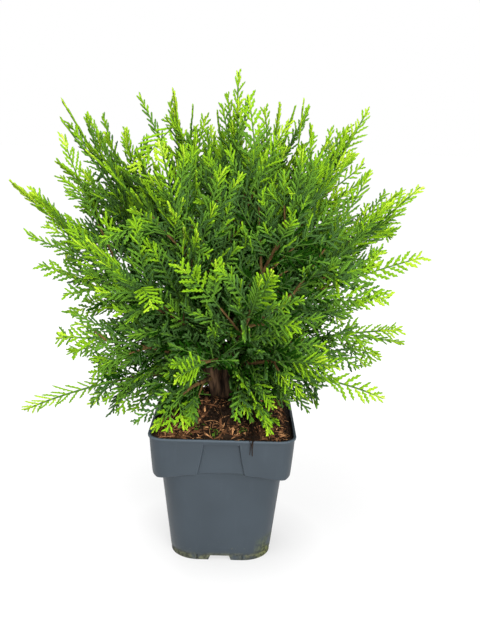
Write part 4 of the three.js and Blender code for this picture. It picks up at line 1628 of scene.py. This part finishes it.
    def shoot(self, limb, root, heading, length, draw, young, flat=None):
        path = self.shoot_path(limb, root, heading, length, draw)
        if path is None or path.length < SHORTEST_SHOOT:
            return
        bare = mix(0.06, 0.16, draw.random())
        along = path.heading(0.6)
        face = tilted(flat, along, draw) if flat else spray_face(path.point(0.6), along, draw)
        slender = SLENDER[limb.tier] * mix(0.75, 1.3, draw.random())
        self.add_twig(limb, path, *SHOOT_GREEN)
        self.spray(limb, path, face, bare, slender, young, draw)

    def spear(self, limb, draw, young):
        """A slender leading shoot that runs out past the mass, close to the limb's own tip."""
        share = draw.uniform(*SPEAR_SPAN)
        heading = side_heading(limb.path.heading(share), draw.uniform(0, 2 * math.pi),
                               math.radians(draw.uniform(*SPEAR_LEAN)))
        length = limb.path.length * (1.04 - share) * draw.uniform(0.9, 1.1)
        pull = UP * max(0.0, BEND_UP[limb.tier]) * 0.5 + limb.heading * 0.2
        path = self.shoot_path(limb, limb.path.point(share), heading, length, draw, pull,
                               draw.uniform(0.91, 0.975))
        if path is None or path.length < SHORTEST_BRANCH:
            return
        face = spray_face(path.point(0.8), path.heading(0.8), draw)
        self.add_twig(limb, path, *SPEAR_GREEN)
        self.spray(limb, path, face, 0.15, draw.uniform(0.10, 0.16), young, draw, "cord")

    def hanging_fan(self, limb, draw, young):
        """A broad frond that leaves the limb sideways and hangs a little, its face turned to the front."""
        root = limb.path.point(draw.uniform(*FAN_SPAN))
        out = Vector((limb.heading.x, limb.heading.y, 0)).normalized()
        across = UP.cross(out) * draw.choice((-1, 1))
        heading = across * draw.uniform(0.45, 0.95) + limb.heading * 0.55 + UP * draw.uniform(-0.8, 0.0)
        path = self.shoot_path(limb, root, heading.normalized(), draw.uniform(*FAN_SIZE), draw,
                               UP * -0.9 + out * 0.3)
        if path is None or path.length < SHORTEST_FAN:
            return
        side_on = abs(out.x) ** 2
        face = out * (1 - side_on) + UP.cross(out) * side_on + UP * 0.35 + jitter(draw, 0.18)
        self.add_twig(limb, path, *FAN_GREEN)
        self.spray(limb, path, square_to(path.heading(0.6), face), 0.08, draw.uniform(0.28, 0.38), young,
                   draw, "frond")

    def grow(self, limb, seed):
        """Everything on one limb, from its long branches to the short shoots inside the crown."""
        draw = random.Random(seed)
        own = TIER_TONE[limb.tier] + draw.gauss(0, 0.03)
        self.add_twig(limb, limb.path, *LIMB_TWIG)
        self.add_twig(limb, limb.path, *LIMB_GREEN)
        face = spray_face(limb.path.point(0.9), limb.path.heading(0.9), draw)
        end = part_path(limb.path, *END_SPRAY, 8)
        self.spray(limb, end, face, 0.05, SLENDER[limb.tier], own + 0.03, draw)
        turns = side_turns(limb, draw)
        self.long_branches(limb, own, turns, draw)
        self.fill_between(limb, own, draw)
        self.side_shoots(limb, own, turns, draw)
        for _ in range(SPEARS[limb.tier]):
            self.spear(limb, draw, own + draw.gauss(-0.12, 0.05))
        for _ in range(FANS[limb.tier]):
            young = FAN_TONE if draw.random() < YOUNG_FANS else draw.gauss(0.02, 0.05)
            self.hanging_fan(limb, draw, own + young)
        self.inner_shoots(limb, draw)

    def long_branches(self, limb, own, turns, draw):
        count = BRANCHES[limb.tier]
        for k in range(count):
            place = k / (count - 1)
            share = mix(*BRANCH_SPAN, place)
            roll, plane = next(turns)
            along = limb.path.heading(share)
            heading = side_heading(along, roll, math.radians(draw.uniform(*BRANCH_LEAN)))
            length = limb.reach * mix(*BRANCH_SIZE, place) * draw.uniform(0.85, 1.1)
            side = self.shoot_path(limb, limb.path.point(share), heading, length, draw)
            if side and side.length >= SHORTEST_BRANCH:
                self.grow_branch(limb, side, own, draw, flat_face(along, plane))

    def fill_between(self, limb, own, draw):
        """Branches that leave the limb for the room between it and its neighbours."""
        near = [other for other in LIMBS if NEIGHBOUR[0] < other.heading.dot(limb.heading) < NEIGHBOUR[1]]
        for other in draw.sample(near, min(len(near), BETWEEN[limb.tier])):
            heading = limb.heading.lerp(other.heading, draw.uniform(0.35, 0.6)).normalized()
            end = HEART + heading * crown_reach(heading) * draw.uniform(0.80, 0.96)
            root = limb.path.point(draw.uniform(*BETWEEN_SPAN))
            bend = root.lerp(end, 0.5) + limb.heading * 0.012
            self.grow_branch(limb, bezier_path(root, bend, end, 8), own, draw)

    def side_shoots(self, limb, own, turns, draw):
        path, reach = limb.path, limb.reach
        first, last = SHOOT_SPAN
        share = first
        while share < last:
            roll, plane = next(turns)
            along = path.heading(share)
            place = (share - first) / (last - first)
            size = reach * mix(*SHOOT_SIZE, place) * draw.uniform(0.7, 1.1)
            size *= SHORT_WIDTH if reach < SHORT_REACH else 1.0
            heading = side_heading(along, roll, math.radians(mix(*SHOOT_LEAN, place)))
            if plane is not None:
                size *= hang(limb, along, heading)
            self.shoot(limb, path.point(share), heading, size, draw, own + draw.gauss(0, 0.06),
                       flat_face(along, plane))
            open_out = mix(1.0, OPENNESS[limb.tier], place if reach > SHORT_REACH else 0.15)
            share += self.given.shoot_gap * open_out * draw.uniform(0.8, 1.25) / path.length

    def inner_shoots(self, limb, draw):
        """Short old shoots all round the limb, inside the crown."""
        path = limb.path
        share, last = INNER_SPAN
        roll = draw.uniform(0, 2 * math.pi)
        while share < last:
            roll += GOLDEN_TURN
            heading = side_heading(path.heading(share), roll, math.radians(draw.uniform(*INNER_LEAN)))
            self.shoot(limb, path.point(share), heading, draw.uniform(*INNER_SIZE), draw,
                       draw.gauss(-0.07, 0.06))
            share += self.given.inner_gap * INNER_GAPS[limb.tier] * draw.uniform(0.8, 1.25) / path.length

    def clothe_stems(self, seed):
        """Short old shoots straight from the stems."""
        draw = random.Random(seed)
        for i, turn in enumerate(STEM_TURNS):
            stem = bezier_path(*stem_curve(i))
            for k in range(STEM_SHOOTS):
                share = mix(0.08, 1.0, k / STEM_SHOOTS)
                heading = aim(turn + draw.uniform(-100, 100), mix(-25, 20, share) + draw.uniform(-10, 40))
                limb = max(LIMBS, key=lambda other: other.heading.dot(heading))
                self.shoot(limb, stem.point(share), heading, draw.uniform(*STEM_SHOOT_SIZE), draw,
                           draw.gauss(-0.03, 0.05))

    def grow_branch(self, limb, side, own, draw, flat=None):
        """A long side branch that spreads in one plane: shoots left and right, and a spray at its end."""
        young = own + draw.gauss(0, 0.055)
        along = side.heading(0.7)
        face = tilted(flat, along, draw) if flat else spray_face(side.point(0.7), along, draw)
        slender = SLENDER[limb.tier] * mix(0.9, 1.3, draw.random())
        self.add_twig(limb, side, *BRANCH_TWIG)
        self.add_twig(limb, side, *BRANCH_GREEN)
        self.spray(limb, part_path(side, 0.4, 1.0, 8), face, 0.02, slender, young, draw)
        share, last = FORK_SPAN
        hand = draw.choice((-1, 1))
        while share < last:
            along = side.heading(share)
            flat = tilted(face, along, draw)
            lean = math.radians(draw.uniform(*FORK_LEAN))
            heading = leaning(along, flat.cross(along), hand * lean).normalized()
            size = side.length * mix(*FORK_SIZE, share) * draw.uniform(0.8, 1.12)
            size *= hang(limb, along, heading)
            self.shoot(limb, side.point(share), heading, size, draw, young + draw.gauss(0, 0.04), flat)
            hand = -hand
            share += self.given.shoot_gap * FORK_GAP * math.sqrt(OPENNESS[limb.tier]) / side.length


def build_crown(given, wood):
    crown = Crown(given)
    for index, limb in enumerate(LIMBS):
        crown.grow(limb, given.seed + index)
    crown.clothe_stems(given.seed - 1)
    materials = {tone: scale_leaf(f"leaf_{tone}", getattr(given, tone)) for tone in TONES}
    shapes = shape_collection("branchlet", spray_shapes())
    for (tier, tone), rows in sorted(crown.sprigs.items()):
        scatter(f"sprays_{tier}_{tone}", rows, shapes, materials[tone], "foliage",
                limb_nodes("foliage", tier))
    drop_collection(shapes)
    young_green = [mix(a, b, 0.5) for a, b in zip(given.deep, given.mid)]
    skins = {"twig": (5, bark_wood("twig_bark", shaded(wood.twig, 0.45), wood.twig, 700.0), "bark"),
             "green": (3, scale_leaf("green_shoot", young_green), "foliage")}
    for (tier, kind), runs in sorted(crown.twigs.items()):
        skin_runs(f"{kind}s_{tier}", runs, *skins[kind], limb_nodes("foliage", tier))


# Stage

CAMERA_PLACE = (0.013, -0.702, 0.371)
CAMERA_DOWN = 12.55
CAMERA_ROLL = 1.5
SENSOR = 36.0
WHITE = (1, 1, 1, 1)
FLOOR_RADIUS = 40.0
FLOOR_SIDES = 96

# Distances from the axis of the pot between which the glow of the floor changes
GLOW_OUT = (0.12, 0.75)
# The second pair dims the glow at the foot of the pot: a painted contact shadow
FOOT_SHADOW_SPAN = (0.045, 0.100)

# Soft boxes: where each one hangs and how wide it is
LIT_POINT = (0, 0, 0.25)
OVERHEAD = ((-0.35, -0.65, 1.5), 0.9)
FRONT = ((0.5, -1.5, 0.7), 1.0)
BEHIND = ((-0.3, 1.3, 1.1), 1.0)


def soft_box(name, place, width, power):
    data = bpy.data.lights.new(name, "AREA")
    data.shape = "SQUARE"
    data.size = width
    data.energy = power
    lamp = bpy.data.objects.new(name, data)
    lamp.location = place
    lamp.rotation_euler = (Vector(LIT_POINT) - Vector(place)).to_track_quat("-Z", "Y").to_euler()
    bpy.context.scene.collection.objects.link(lamp)


def build_stage(given):
    ring = [(FLOOR_RADIUS * math.cos(angle), FLOOR_RADIUS * math.sin(angle), 0)
            for angle in around(FLOOR_SIDES)]
    shader = Shader("floor_paper", FLOOR_ROUGH)
    shader.give("Emission Color", WHITE)
    seen = shader.node("ShaderNodeLightPath").outputs["Is Camera Ray"]
    shader.colour(shader.blend(seen, given.floor, shaded(given.floor, given.shadow)))
    away = shader.node("ShaderNodeVectorMath", {0: shader.place}, operation="LENGTH").outputs["Value"]
    # The glow is dimmed round the foot of the pot: a painted contact shadow on the floor
    glow = shader.times(shader.ramp(away, *GLOW_OUT, given.near_glow, given.far_glow),
                        shader.ramp(away, *FOOT_SHADOW_SPAN, given.foot_shadow_glow, 1.0))
    shader.give("Emission Strength", shader.times(seen, glow))
    mesh_object("floor", ring, [tuple(range(FLOOR_SIDES))], shader.material)
    world = bpy.data.worlds.new("Studio")
    world.use_nodes = True
    tree = world.node_tree
    light = tree.nodes["Background"]
    feed(tree, light.inputs["Color"], WHITE)
    feed(tree, light.inputs["Strength"], given.world)
    paper = add_node(tree, "ShaderNodeBackground", {"Color": WHITE}, {})
    seen = add_node(tree, "ShaderNodeLightPath", {}, {}).outputs["Is Camera Ray"]
    chosen = add_node(tree, "ShaderNodeMixShader",
                      {0: seen, 1: light.outputs["Background"], 2: paper.outputs["Background"]}, {})
    feed(tree, tree.nodes["World Output"].inputs["Surface"], chosen.outputs["Shader"])
    bpy.context.scene.world = world
    bpy.context.scene.view_settings.view_transform = "Standard"
    bpy.context.scene.view_settings.look = "None"
    soft_box("overhead", *OVERHEAD, given.key)
    soft_box("front", *FRONT, given.fill)
    soft_box("behind", *BEHIND, given.back)
    camera = bpy.data.cameras.new("Camera")
    camera.lens = given.lens
    camera.sensor_width = SENSOR
    camera.clip_start = 0.01
    eye = bpy.data.objects.new("Camera", camera)
    pitch = Matrix.Rotation(math.radians(90 - CAMERA_DOWN), 4, "X")
    roll = Matrix.Rotation(math.radians(CAMERA_ROLL), 4, "Z")
    eye.matrix_world = Matrix.Translation(CAMERA_PLACE) @ pitch @ roll
    bpy.context.scene.collection.objects.link(eye)
    bpy.context.scene.camera = eye


# Operators

class ARBORVITAE_OT_stage(Operator):
    """Sets the pale floor, the soft light and the camera"""
    bl_idname = "arborvitae.stage"
    bl_label = "Stage"

    def execute(self, context):
        build_stage(context.scene.arborvitae.stage)
        return {"FINISHED"}


class ARBORVITAE_OT_pot(Operator):
    """Builds the moulded pot"""
    bl_idname = "arborvitae.pot"
    bl_label = "Pot"

    def execute(self, context):
        build_pot(context.scene.arborvitae.pot)
        return {"FINISHED"}


class ARBORVITAE_OT_soil(Operator):
    """Builds the peat mound with its chips, fibres and crumbs"""
    bl_idname = "arborvitae.soil"
    bl_label = "Soil and Mulch"

    def execute(self, context):
        build_soil(context.scene.arborvitae.soil)
        return {"FINISHED"}


class ARBORVITAE_OT_wood(Operator):
    """Builds the stems and boughs with their bark"""
    bl_idname = "arborvitae.wood"
    bl_label = "Stems and Boughs"

    def execute(self, context):
        build_wood(context.scene.arborvitae.wood)
        return {"FINISHED"}


class ARBORVITAE_OT_crown(Operator):
    """Grows the twigs and the sprays of scale leaves"""
    bl_idname = "arborvitae.crown"
    bl_label = "Twigs and Sprays"

    def execute(self, context):
        settings = context.scene.arborvitae
        build_crown(settings.crown, settings.wood)
        return {"FINISHED"}


class ARBORVITAE_PT_panel(Panel):
    """Lists the pieces of the plant"""
    bl_label = "Arborvitae"
    bl_space_type = "VIEW_3D"
    bl_region_type = "UI"
    bl_category = "Arborvitae"

    def draw(self, context):
        for name in OPERATORS:
            self.layout.operator(f"arborvitae.{name}")


OPERATORS = ("stage", "pot", "soil", "wood", "crown")
CLASSES = (PotSettings, SoilSettings, WoodSettings, CrownSettings, StageSettings, ArborvitaeSettings,
           ARBORVITAE_OT_stage, ARBORVITAE_OT_pot, ARBORVITAE_OT_soil, ARBORVITAE_OT_wood,
           ARBORVITAE_OT_crown, ARBORVITAE_PT_panel)


def register():
    for made in CLASSES:
        bpy.utils.register_class(made)
    bpy.types.Scene.arborvitae = PointerProperty(type=ArborvitaeSettings)


def unregister():
    del bpy.types.Scene.arborvitae
    for made in reversed(CLASSES):
        bpy.utils.unregister_class(made)


def main():
    register()
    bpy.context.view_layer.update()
    for name in OPERATORS:
        getattr(bpy.ops.arborvitae, name)()


if __name__ == "__main__":
    main()
